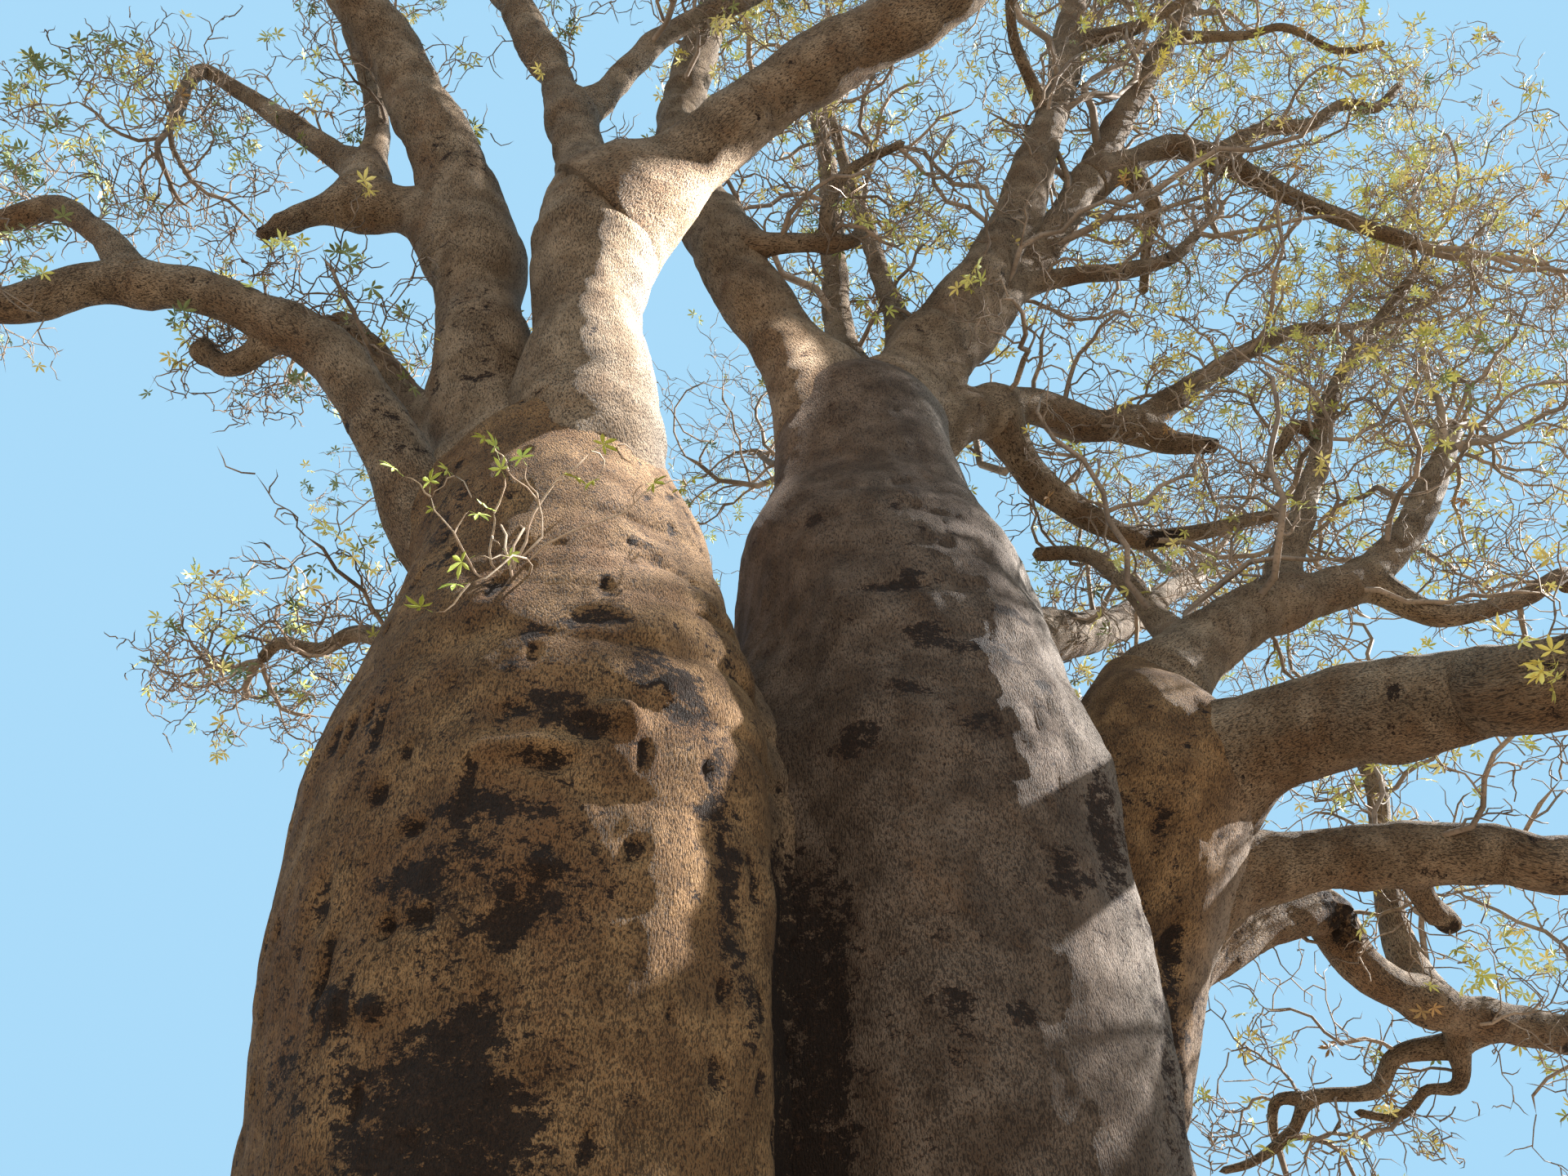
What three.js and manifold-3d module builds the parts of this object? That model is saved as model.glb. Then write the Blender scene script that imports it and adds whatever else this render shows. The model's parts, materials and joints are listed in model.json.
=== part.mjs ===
// A baobab tree in its dry season: three bottle-shaped stems that share one foot, the boughs they
// carry, and a mass of twigs and leaf sprays at the end of each bough.
// Millimetres, +Z up. The origin is on the flat cut at ground level, under the left stem.

import * as THREE from "three";
import { mergeVertices } from "three/addons/utils/BufferGeometryUtils.js";
import Module from "manifold-3d";

const wasm = await Module();
wasm.setup();

// Driving dimensions. Lengths are metres until a solid is made.
const METRE = 1000;
const TOUCH_GAP = 0.00035; // between a limb and what carries it
const STEM_SIDES = 18;
const THICK_LIMB = 0.1; // a limb this thick at its foot has more sides
const LIMB_SIDES = { thick: 7, thin: 5 };
const LIMB_STEP = 1.1; // length of limb to each ring of faces
const FUSE_TOLERANCES = [0.018, 0.012, 0.006]; // details finer than the first that works are merged away
const FINEST = 0.00005; // no edge is shorter, where one limb is cut by another
const SAME_POINT = 0.000001; // points nearer than this count as one
const STEEP = 0.9; // a way that rises by more than this share of its length counts as upright
const COLLAR = { swell: 0.3, reach: 0.9 }; // how much a limb widens at its foot, and how far along

// Each stem by height: [height, radius, middle X, middle Y]. The lowest rows are the root flare, and
// the last two close the stem between the feet of its boughs.
const STEMS = [
  {
    name: "left_stem",
    lobes: 9,
    lobeDepth: 0.07,
    rows: [
      [0, 1.42, -0.55, -0.28],
      [0.3, 1.24, -0.6, -0.29],
      [0.9, 1.09, -0.66, -0.3],
      [1.8, 1.05, -0.74, -0.3],
      [2.6, 1.08, -0.79, -0.3],
      [3.4, 1.14, -0.81, -0.3],
      [4.05, 1.12, -0.82, -0.3],
      [4.7, 0.99, -0.84, -0.3],
      [5.35, 0.79, -0.92, -0.3],
      [5.85, 0.63, -1.06, -0.3],
      [6.2, 0.52, -1.12, -0.3],
      [6.45, 0.28, -1.14, -0.3],
    ],
  },
  {
    name: "right_stem",
    lobes: 8,
    lobeDepth: 0.06,
    rows: [
      [0, 1.34, 0.9, 0.3],
      [0.3, 1.2, 0.88, 0.3],
      [0.9, 1.08, 0.86, 0.3],
      [1.8, 1.05, 0.83, 0.3],
      [3.0, 1.1, 0.79, 0.3],
      [4.35, 1.11, 0.74, 0.3],
      [5.1, 0.99, 0.72, 0.3],
      [5.85, 0.83, 0.69, 0.3],
      [6.35, 0.63, 0.67, 0.3],
      [6.9, 0.49, 0.65, 0.3],
      [7.3, 0.42, 0.64, 0.3],
      [7.55, 0.22, 0.64, 0.3],
    ],
  },
  {
    name: "side_stem",
    lobes: 5,
    lobeDepth: 0.08,
    rows: [
      [0, 0.85, 1.6, 0.66],
      [0.3, 0.72, 1.52, 0.65],
      [0.9, 0.62, 1.42, 0.63],
      [1.8, 0.58, 1.36, 0.61],
      [2.8, 0.56, 1.42, 0.6],
      [3.7, 0.56, 1.66, 0.6],
      [4.5, 0.58, 1.93, 0.6],
      [4.95, 0.54, 2.05, 0.6],
      [5.25, 0.4, 2.1, 0.6],
      [5.4, 0.2, 2.12, 0.6],
    ],
  },
];
const FLARE_HEIGHT = 0.7; // the lobes of the root flare die away over this height

// Each bough: its parent, how far along the parent it leaves (a height, on a stem), its radius at
// its foot and its tip, and its run, as stretches of [length, heading from +X, rise] in degrees.
// Foliage is the reach of the mass at its tip, where it carries one.
const BOUGHS = [
  {
    name: "front_column",
    parent: "left_stem",
    at: 5.4,
    radii: [0.33, 0.32],
    run: [[0.35, -72, 64], [1.4, -122, 83], [1.05, -72, 84]],
  },
  {
    name: "overhead_bough",
    parent: "front_column",
    at: 2.55,
    radii: [0.26, 0.12],
    run: [[1.65, -19, 38], [1.2, -22, 23], [1.0, -35, 32], [1.25, -32, 40], [2.0, -50, 45]],
    foliage: 2.8,
  },
  {
    name: "overhead_fork",
    parent: "overhead_bough",
    at: 3.85,
    radii: [0.13, 0.09],
    run: [[1.25, -122, 54], [1.4, -130, 42], [1.6, -140, 45]],
    foliage: 2.8,
  },
  {
    name: "forked_bough",
    parent: "front_column",
    at: 2.55,
    radii: [0.18, 0.09],
    run: [[2.2, 164, 74], [1.55, 170, 68], [1.05, -166, 67], [0.95, -125, 75]],
    foliage: 2.3,
  },
  {
    name: "middle_bough",
    parent: "forked_bough",
    at: 1.35,
    radii: [0.095, 0.06],
    run: [[1.1, 30, 73], [1.05, 13, 64], [0.8, 11, 49], [1.95, 31, 67], [0.9, -10, 54]],
    foliage: 2.2,
  },
  {
    name: "rear_column",
    parent: "left_stem",
    at: 5.35,
    radii: [0.33, 0.17],
    run: [[1.05, 161, 55], [2.25, -168, 78], [1.6, -156, 67], [1.1, -147, 54], [2.25, -136, 55]],
    foliage: 2.5,
  },
  {
    name: "broken_bough",
    parent: "rear_column",
    at: 3.15,
    radii: [0.23, 0.05],
    run: [[0.65, -178, 48], [0.4, 180, 20], [0.35, -171, -17], [0.5, -173, -43]],
  },
  {
    name: "crooked_bough",
    parent: "broken_bough",
    at: 1.1,
    radii: [0.12, 0.04],
    run: [[0.7, 160, 64], [2.05, 169, 48], [0.35, -170, 17], [1.2, -45, -76]],
    foliage: 1.4,
  },
  {
    name: "left_bough",
    parent: "left_stem",
    at: 5.15,
    radii: [0.22, 0.05],
    run: [
      [0.95, 180, 35],
      [1.45, -162, 55],
      [0.8, -168, 32],
      [0.75, -180, 12],
      [0.6, -180, -23],
      [0.95, -167, 11],
      [0.9, -166, 26],
    ],
    foliage: 2.0,
  },
  {
    name: "left_fork",
    parent: "left_bough",
    at: 3.75,
    radii: [0.1, 0.05],
    run: [[1.2, 173, 47], [0.55, 169, 9], [1.05, 168, 27]],
    foliage: 1.9,
  },
  {
    name: "dark_snag",
    parent: "rear_column",
    at: 1.55,
    radii: [0.17, 0.045],
    run: [[0.8, 165, 40], [1.05, 166, 56], [0.2, 179, 20]],
    foliage: 1.0,
  },
  {
    name: "low_left_bough",
    parent: "left_stem",
    at: 4.8,
    radii: [0.09, 0.04],
    run: [[1.65, 146, 30], [0.6, 145, 29], [0.35, 145, 3], [0.45, 152, 24], [0.2, 145, -24]],
    foliage: 1.0,
  },
  {
    name: "inner_bough",
    parent: "right_stem",
    at: 6.7,
    radii: [0.28, 0.12],
    run: [[2.4, -174, 67], [1.65, 166, 75], [1.05, 78, 85], [2.05, 39, 81], [1.0, 105, 71]],
    foliage: 2.2,
  },
  {
    name: "upright_bough",
    parent: "right_stem",
    at: 6.95,
    radii: [0.22, 0.11],
    run: [[1.1, 14, 68], [1.5, 8, 62], [2.15, 12, 70], [2.8, 16, 75], [1.0, 36, 64]],
    foliage: 2.2,
  },
  {
    name: "leaning_bough",
    parent: "right_stem",
    at: 7.05,
    radii: [0.19, 0.09],
    run: [[1.1, 19, 55], [1.65, 23, 63], [0.75, 14, 55], [2.85, 9, 64], [2.05, 0, 63]],
    foliage: 2.3,
  },
  {
    name: "arching_bough",
    parent: "leaning_bough",
    at: 4.35,
    radii: [0.12, 0.06],
    run: [[0.9, 3, 41], [0.5, -1, -8], [1.1, 7, -35], [0.9, 13, -14]],
    foliage: 2.2,
  },
  {
    name: "level_inner_bough",
    parent: "leaning_bough",
    at: 1.65,
    radii: [0.11, 0.045],
    run: [[0.8, 13, 56], [0.55, 12, 36], [1.1, 12, 27], [0.65, 13, 49]],
    foliage: 1.9,
  },
  {
    name: "pale_bough",
    parent: "right_stem",
    at: 7.1,
    radii: [0.14, 0.07],
    run: [[1.55, 90, 67], [2.1, 99, 79], [1.45, 101, 82], [1.35, 104, 81]],
    foliage: 2.2,
  },
  {
    name: "winding_bough",
    parent: "right_stem",
    at: 6.65,
    radii: [0.21, 0.05],
    run: [[1.15, 25, 52], [0.95, 31, 37], [0.95, 26, 14], [2.3, 14, 41], [0.7, 7, 19]],
    foliage: 2.0,
  },
  {
    name: "drooping_bough",
    parent: "winding_bough",
    at: 1.65,
    radii: [0.11, 0.05],
    run: [[0.7, 47, -37], [0.85, 28, -7], [1.35, 14, 21]],
    foliage: 1.9,
  },
  {
    name: "rising_bough",
    parent: "side_stem",
    at: 4.65,
    radii: [0.25, 0.08],
    run: [[0.95, 13, 62], [1.0, 15, 39], [1.35, 15, 30], [1.75, 16, 53]],
    foliage: 2.1,
  },
  {
    name: "tall_bough",
    parent: "rising_bough",
    at: 2.15,
    radii: [0.1, 0.04],
    run: [[1.75, 25, 61], [1.3, 19, 63], [2.8, 14, 53]],
    foliage: 2.2,
  },
  {
    name: "great_bough",
    parent: "side_stem",
    at: 4.55,
    radii: [0.28, 0.13],
    run: [
      [0.5, -13, 22],
      [0.65, -42, 3],
      [0.8, -51, -14],
      [0.4, -68, -24],
      [1.25, -36, 4],
      [1.2, -26, 24],
      [1.1, -21, 40],
    ],
    foliage: 2.6,
  },
  {
    name: "level_bough",
    parent: "side_stem",
    at: 3.85,
    radii: [0.2, 0.1],
    run: [[1.05, 6, 27], [1.15, -10, 0], [0.35, -17, -20], [1.05, 11, 5], [1.1, 17, 21], [1.15, 18, 33]],
    foliage: 2.4,
  },
  {
    name: "torn_bough",
    parent: "side_stem",
    at: 3.5,
    radii: [0.18, 0.08],
    run: [[1.05, 26, 31], [0.9, 29, 20], [0.7, 39, -26], [1.5, 24, -2], [1.05, 29, 12], [1.0, 30, 37]],
    foliage: 2.3,
  },
  {
    name: "back_left_bough",
    parent: "left_stem",
    at: 5.7,
    radii: [0.26, 0.09],
    run: [[1.2, 113, 48], [1.4, 115, 53], [1.4, 117, 51], [1.8, 111, 44]],
    foliage: 2.5,
  },
  {
    name: "low_back_bough",
    parent: "left_stem",
    at: 4.7,
    radii: [0.22, 0.08],
    run: [[1.15, 94, 20], [1.05, 101, 11], [1.25, 100, 24], [1.0, 84, 29]],
    foliage: 2.4,
  },
  {
    name: "back_bough",
    parent: "right_stem",
    at: 6.4,
    radii: [0.24, 0.09],
    run: [[1.05, 88, 41], [1.3, 102, 44], [1.45, 84, 51], [2.2, 100, 45]],
    foliage: 2.8,
  },
  {
    name: "back_right_bough",
    parent: "right_stem",
    at: 5.5,
    radii: [0.22, 0.09],
    run: [[1.3, 45, 28], [1.2, 49, 29], [1.4, 52, 35], [1.15, 58, 37], [1.6, 45, 40]],
    foliage: 2.8,
  },
];

// Fresh shoots that spring from the front of the left stem's neck.
const NECK_SHOOTS = {
  name: "neck_shoots",
  parent: "left_stem",
  height: 4.85,
  heading: -100,
  rise: 48,
  radius: 0.035,
  sunk: 0.1,
  foliage: 1.3,
};

// How a mass grows: shares are of its reach, angles are degrees.
const GROWTH = {
  seed: 41,
  stemShare: 0.42,
  stemStretches: 3,
  stemTaper: 0.4,
  stemSides: 4,
  stemRoom: 0.5, // of a stem's foot radius, kept clear all along it
  spineShare: 0.5, // a mass's spine runs from its foot over this much of its reach
  twigShare: 0.3,
  bladeShare: 0.3,
  twigletShare: 0.6, // length of a twiglet, as a share of its twig
  twigsOnStretch: [1, 2, 2],
  spacing: 0.4, // between the twigs of a stretch, as a share of it
  turn: [35, 78],
  knee: [12, 28],
  spin: 137.5, // from one twig to the next, round the wood that carries them
  lift: 0.1,
  twigRadius: 0.022,
  twigTaper: 0.3, // share of its radius that a twig loses over each stretch
  twigAtMost: 0.7, // a twig is at most this share of the stem that carries it
  twigletRadius: 0.6, // as a share of its twig's
  tries: 12,
  retry: { turn: 7, shorten: 0.05 }, // each new try turns further away and is shorter
};
// The blade for a twig's leaves: shares of its length, how that length varies, and where it is widest.
const SPRAY = { width: 0.42, thickness: 0.08, vary: [0.85, 1.1], widest: 0.45 };
// How far foliage keeps from a limb, from the next mass's space and from the ground.
const CLEARANCE = { limb: 0.03, cell: 0.04, ground: 0.5 };
const SAMPLES = 6; // steps along a stretch where its room is tested

const BARK = { color: 0x9a8676, roughness: 0.9, metalness: 0 };
const SHADED_BARK = { color: 0x8a7565, roughness: 0.92, metalness: 0 };
const LEAF = { color: 0xb3ad4c, roughness: 0.7, metalness: 0 };

// Plain helpers.
const lerp = THREE.MathUtils.lerp;
const smoothstep = THREE.MathUtils.smoothstep;
const radians = THREE.MathUtils.degToRad;

function seededRandom(seed) {
  let state = seed >>> 0;
  return () => {
    state = (state + 0x6d2b79f5) >>> 0;
    let mixed = Math.imul(state ^ (state >>> 15), 1 | state);
    mixed = (mixed + Math.imul(mixed ^ (mixed >>> 7), 61 | mixed)) ^ mixed;
    return ((mixed ^ (mixed >>> 14)) >>> 0) / 4294967296;
  };
}

function between(random, [low, high]) {
  return lerp(low, high, random());
}

function directionOf(heading, rise) {
  const level = Math.cos(radians(rise));
  return new THREE.Vector3(
    level * Math.cos(radians(heading)),
    level * Math.sin(radians(heading)),
    Math.sin(radians(rise)),
  );
}

function acrossFrom(way) {
  const helper = Math.abs(way.z) < STEEP ? new THREE.Vector3(0, 0, 1) : new THREE.Vector3(1, 0, 0);
  return helper.cross(way).normalize();
}

// A direction turned away from another by one angle, and spun round it by a second.
function turned(way, away, spin) {
  const hinge = acrossFrom(way).applyAxisAngle(way, radians(spin));
  return way.clone().applyAxisAngle(hinge, radians(away)).normalize();
}

// Geometry with only shared positions, ready to become a solid.
function bare(geometry) {
  geometry.deleteAttribute("normal");
  geometry.deleteAttribute("uv");
  return mergeVertices(geometry);
}

function solidFrom(geometry) {
  const scaled = geometry.clone().scale(METRE, METRE, METRE);
  return new wasm.Manifold(
    new wasm.Mesh({
      numProp: 3,
      vertProperties: new Float32Array(scaled.getAttribute("position").array),
      triVerts: new Uint32Array(scaled.index.array),
    }),
  );
}

function geometryFrom(solid) {
  const { vertProperties, triVerts } = solid.getMesh();
  const geometry = new THREE.BufferGeometry();
  geometry.setAttribute("position", new THREE.BufferAttribute(vertProperties, 3));
  geometry.setIndex(new THREE.BufferAttribute(triVerts, 1));
  return geometry;
}

// The largest body of a solid: loose scraps and sealed hollows are left behind.
function mainBody(solid) {
  return solid.decompose().reduce((best, body) => (body.volume() > best.volume() ? body : best));
}

// Whether a solid's surface is still closed, with two faces to each edge, once its near points are one.
function staysClosed(solid) {
  const index = mergeVertices(geometryFrom(solid), SAME_POINT * METRE).index.array;
  const edges = new Set();
  for (let i = 0; i < index.length; i++) {
    const next = i % 3 === 2 ? i - 2 : i + 1;
    const edge = index[i] + "-" + index[next];
    if (index[i] === index[next] || edges.has(edge)) return false;
    edges.add(edge);
  }
  return [...edges].every((edge) => edges.has(edge.split("-").reverse().join("-")));
}

// A cylinder carried along a row of rings, each with its middle and its half width and half depth.
function tube(rings, sides) {
  const steps = rings.length - 1;
  const ways = rings.map((_, i) =>
    rings[Math.min(i + 1, steps)].point.clone().sub(rings[Math.max(i - 1, 0)].point).normalize(),
  );
  const sideways = [acrossFrom(ways[0])];
  for (let i = 1; i <= steps; i++) {
    const carried = sideways[i - 1].clone();
    sideways.push(carried.addScaledVector(ways[i], -carried.dot(ways[i])).normalize());
  }
  const shape = bare(new THREE.CylinderGeometry(1, 1, 1, sides, steps));
  const place = shape.getAttribute("position");
  for (let i = 0; i < place.count; i++) {
    const step = Math.round((place.getY(i) + 0.5) * steps);
    const cross = sideways[step].clone().cross(ways[step]);
    const moved = rings[step].point.clone();
    moved.addScaledVector(sideways[step], place.getX(i) * rings[step].width);
    moved.addScaledVector(cross, place.getZ(i) * rings[step].depth);
    place.setXYZ(i, moved.x, moved.y, moved.z);
  }
  return withoutFlatFaces(shape);
}

// A ring of no radius is one point, and the faces between its corners go.
function withoutFlatFaces(shape) {
  const merged = mergeVertices(shape, SAME_POINT);
  const corners = [...merged.index.array];
  const kept = [];
  for (let i = 0; i < corners.length; i += 3) {
    const face = corners.slice(i, i + 3);
    if (new Set(face).size === 3) kept.push(...face);
  }
  return merged.setIndex(kept);
}

function roundRing(point, radius) {
  return { point, width: radius, depth: radius };
}

// Stems.
function stemMiddle(stem, height) {
  const rows = stem.rows;
  const upper = Math.max(1, rows.findIndex((row) => row[0] >= height));
  const [low, high] = [rows[upper - 1], rows[upper]];
  const share = (height - low[0]) / (high[0] - low[0]);
  return {
    radius: lerp(low[1], high[1], share),
    point: new THREE.Vector3(lerp(low[2], high[2], share), lerp(low[3], high[3], share), height),
  };
}

// A stem is a cylinder whose rings follow its rows, with the lobes of the root flare at its foot.
// Extra grows it all round, so that what stands on it can be cut clear.
function stemShape(stem, extra) {
  const rings = stem.rows.length - 1;
  const shape = bare(new THREE.CylinderGeometry(1, 1, 1, STEM_SIDES, rings));
  const place = shape.getAttribute("position");
  for (let i = 0; i < place.count; i++) {
    const [height, radius, x, y] = stem.rows[Math.round((place.getY(i) + 0.5) * rings)];
    const across = Math.hypot(place.getX(i), place.getZ(i));
    const angle = Math.atan2(-place.getZ(i), place.getX(i));
    const lobe = 1 + stem.lobeDepth * Math.exp(-height / FLARE_HEIGHT) * Math.cos(stem.lobes * angle);
    const reach = across * (radius * lobe + extra);
    const level = height === stem.rows.at(-1)[0] ? height + extra : height;
    place.setXYZ(i, x + reach * Math.cos(angle), y + reach * Math.sin(angle), level);
  }
  return shape;
}

// Boughs.
function boughCurve(bough, start) {
  const points = [start];
  for (const [length, heading, rise] of bough.run) {
    points.push(points.at(-1).clone().addScaledVector(directionOf(heading, rise), length));
  }
  return new THREE.CatmullRomCurve3(points, false, "catmullrom");
}

function boughRadius(bough, share, length) {
  const [foot, tip] = bough.radii;
  const collar = 1 - smoothstep(share * length, 0, COLLAR.reach);
  return lerp(foot, tip, share) * (1 + COLLAR.swell * collar);
}

const limbs = new Map(); // every stem and bough, with the points and radii that others keep clear of

function addStem(stem) {
  const points = stem.rows.map((row) => stemMiddle(stem, row[0]).point);
  limbs.set(stem.name, {
    points,
    radii: stem.rows.map((row) => row[1]),
    pointAt: (height) => stemMiddle(stem, height).point,
    shape: (extra) => stemShape(stem, extra),
  });
}

function addBough(bough) {
  const curve = boughCurve(bough, limbs.get(bough.parent).pointAt(bough.at));
  const length = curve.getLength();
  const steps = Math.max(3, Math.round(length / LIMB_STEP));
  const points = curve.getSpacedPoints(steps);
  const radii = points.map((_, i) => boughRadius(bough, i / steps, length));
  const sides = bough.radii[0] >= THICK_LIMB ? LIMB_SIDES.thick : LIMB_SIDES.thin;
  const way = points.at(-1).clone().sub(points.at(-2)).normalize();
  limbs.set(bough.name, {
    points,
    radii,
    way,
    pointAt: (along) => curve.getPointAt(along / length),
    shape: (extra) => {
      const rings = points.map((point, i) => roundRing(point.clone(), radii[i] + extra));
      rings.at(-1).point.addScaledVector(way, extra);
      return tube(rings, sides);
    },
  });
}

STEMS.forEach(addStem);
BOUGHS.forEach(addBough);

// A limb's solid, cut clear of every limb that was made before it.
function cutLimb(name, index, names) {
  const earlier = names.slice(0, index).map((other) => solidFrom(limbs.get(other).shape(TOUCH_GAP)));
  const whole = solidFrom(limbs.get(name).shape(0));
  const cut = earlier.reduce((left, other) => left.subtract(other), whole);
  return mainBody(cut.simplify(FINEST * METRE));
}

// Masses of foliage. Each keeps to its own space: within its reach of its stem's foot, nearer to its
// own stem than to any other, and clear of every limb.
function massSpace(name, bearer, foot, way, radius, reach) {
  const heart = foot.clone().addScaledVector(way, GROWTH.spineShare * reach);
  return { name, bearer, foot, way, radius, reach, spine: new THREE.Line3(foot, heart) };
}

function distanceToLine(point, line) {
  const nearest = line.closestPointToPoint(point, true, new THREE.Vector3());
  return nearest.distanceTo(point);
}

function clearOfLimbs(point, thickness, bearer) {
  for (const [name, limb] of limbs) {
    if (name === bearer) continue;
    for (let i = 1; i < limb.points.length; i++) {
      const stretch = new THREE.Line3(limb.points[i - 1], limb.points[i]);
      const share = stretch.closestPointToPointParameter(point, true);
      const radius = lerp(limb.radii[i - 1], limb.radii[i], share);
      const gap = stretch.at(share, new THREE.Vector3()).distanceTo(point) - radius - thickness;
      if (gap < CLEARANCE.limb) return false;
    }
  }
  return true;
}

// Whether a stretch of wood or leaf stays in its mass's space. A bearer is a limb it may touch.
function holds(space, spaces, from, to, thickness, bearer) {
  for (let i = 0; i <= SAMPLES; i++) {
    const point = from.clone().lerp(to, i / SAMPLES);
    const own = distanceToLine(point, space.spine);
    if (point.distanceTo(space.foot) + thickness > space.reach) return false;
    if (point.z - thickness < CLEARANCE.ground) return false;
    if (spaces.some((other) => other !== space
      && distanceToLine(point, other.spine) < own + 2 * thickness + CLEARANCE.cell)) return false;
    if (!clearOfLimbs(point, thickness, bearer)) return false;
  }
  return true;
}

function growMass(space, spaces, random) {
  const pieces = [];
  let spin = 360 * random();

  // A path with a knee between stretches, and room for a blade at its end where it has one, or null
  // where no try stays in the space.
  function path(start, way, length, stretches, thickness, blade) {
    const bearer = start === space.foot ? space.bearer : "";
    for (let attempt = 0; attempt < GROWTH.tries; attempt++) {
      const points = [start];
      const heading = turned(way, attempt * GROWTH.retry.turn * random(), 360 * random());
      const stretch = (length * (1 - attempt * GROWTH.retry.shorten)) / stretches;
      for (let i = 0; i < stretches; i++) {
        points.push(points.at(-1).clone().addScaledVector(heading, stretch));
        heading.copy(turned(heading, between(random, GROWTH.knee), 360 * random()));
        heading.z += GROWTH.lift;
        heading.normalize();
      }
      const lastWay = points.at(-1).clone().sub(points.at(-2)).normalize();
      const tip = points.at(-1).clone().addScaledVector(lastWay, blade);
      const woodInside = points.slice(1).every((point, i) =>
        holds(space, spaces, points[i], point, thickness, bearer));
      const halfBlade = Math.max((SPRAY.width / 2) * blade, thickness);
      if (woodInside && (!blade || holds(space, spaces, points.at(-1), tip, halfBlade, ""))) {
        return { points, lastWay, tip };
      }
    }
    return null;
  }

  // A twig's wood runs on into a spray of leaves, as one three-sided body that flattens to a blade.
  function addTwig(start, way, length, radius, twiglets) {
    const blade = GROWTH.bladeShare * space.reach * between(random, SPRAY.vary);
    const twig = path(start, way, length, twiglets ? 2 : 1, radius, blade);
    if (!twig) return;
    const rings = twig.points.map((point, i) => roundRing(point, radius * (1 - GROWTH.twigTaper * i)));
    rings.push({
      point: twig.points.at(-1).clone().lerp(twig.tip, SPRAY.widest),
      width: (SPRAY.width / 2) * blade,
      depth: (SPRAY.thickness / 2) * blade,
    });
    rings.push(roundRing(twig.tip, 0));
    pieces.push(tube(rings, 3));
    for (let i = 0; i < twiglets; i++) {
      spin += GROWTH.spin;
      const out = turned(twig.lastWay, between(random, GROWTH.turn), spin);
      addTwig(twig.points[1], out, GROWTH.twigletShare * length, GROWTH.twigletRadius * radius, 0);
    }
  }

  const count = GROWTH.stemStretches;
  const room = GROWTH.stemRoom * space.radius;
  const stem = path(space.foot, space.way, GROWTH.stemShare * space.reach, count, room, 0);
  if (!stem) throw new Error(space.name + " has no room for its stem");
  const points = stem.points;
  const radii = points.map((_, i) => space.radius * lerp(1, GROWTH.stemTaper, i / count));
  pieces.push(tube(points.map((point, i) => roundRing(point, radii[i])), GROWTH.stemSides));
  points.slice(1).forEach((knee, i) => {
    const back = points[i].clone().sub(knee);
    const way = back.clone().normalize().negate();
    const radius = Math.min(GROWTH.twigRadius, GROWTH.twigAtMost * radii[i + 1]);
    for (let k = 0; k < GROWTH.twigsOnStretch[i]; k++) {
      spin += GROWTH.spin;
      const start = knee.clone().addScaledVector(back, k * GROWTH.spacing);
      const away = i === count - 1 && k === 0 ? 0 : between(random, GROWTH.turn);
      addTwig(start, turned(way, away, spin), GROWTH.twigShare * space.reach, radius, 1);
    }
  });
  const bearer = solidFrom(limbs.get(space.bearer).shape(TOUCH_GAP));
  const fused = wasm.Manifold.union(pieces.map(solidFrom));
  for (const tolerance of FUSE_TOLERANCES) {
    const cut = fused.simplify(tolerance * METRE).subtract(bearer);
    const body = mainBody(cut.simplify(FINEST * METRE));
    if (staysClosed(body)) return body;
  }
  return null;
}

function foliageSpaces() {
  const spaces = BOUGHS.filter((bough) => bough.foliage).map((bough) => {
    const limb = limbs.get(bough.name);
    const foot = limb.points.at(-1).clone();
    const name = bough.name + "_foliage";
    return massSpace(name, bough.name, foot, limb.way, limb.radii.at(-1), bough.foliage);
  });
  const stem = STEMS.find((row) => row.name === NECK_SHOOTS.parent);
  const middle = stemMiddle(stem, NECK_SHOOTS.height);
  const out = directionOf(NECK_SHOOTS.heading, 0);
  const foot = middle.point.clone().addScaledVector(out, middle.radius - NECK_SHOOTS.sunk);
  const way = directionOf(NECK_SHOOTS.heading, NECK_SHOOTS.rise);
  spaces.push(massSpace(NECK_SHOOTS.name, stem.name, foot, way, NECK_SHOOTS.radius, NECK_SHOOTS.foliage));
  return spaces;
}

// The tree.
const tree = new THREE.Group();
tree.name = "baobab_tree";

function addNode(name, solid, look) {
  const mesh = new THREE.Mesh(geometryFrom(solid), new THREE.MeshStandardMaterial(look));
  mesh.name = name;
  tree.add(mesh);
}

const limbNames = [...limbs.keys()];
limbNames.forEach((name, index) => {
  const isStem = STEMS.some((stem) => stem.name === name);
  addNode(name, cutLimb(name, index, limbNames), isStem ? SHADED_BARK : BARK);
});

const spaces = foliageSpaces();
spaces.forEach((space, index) => {
  const random = seededRandom(GROWTH.seed + index);
  let mass = null;
  while (!mass) mass = growMass(space, spaces, random);
  addNode(space.name, mass, LEAF);
});

export default tree;
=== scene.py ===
"""Looks of a baobab tree in its dry season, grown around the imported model.

Metres, +Z up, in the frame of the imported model. Three stems and the boughs they carry get a
surface with the bark's relief, and each mass of foliage is replaced by limbs, twigs and leaves
that grow on from the boughs by the same rule, carried to finer twigs.
"""

import json
import logging
import math
from dataclasses import dataclass, field
from enum import Enum
from typing import Dict, List, Optional, Sequence, Tuple

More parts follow.
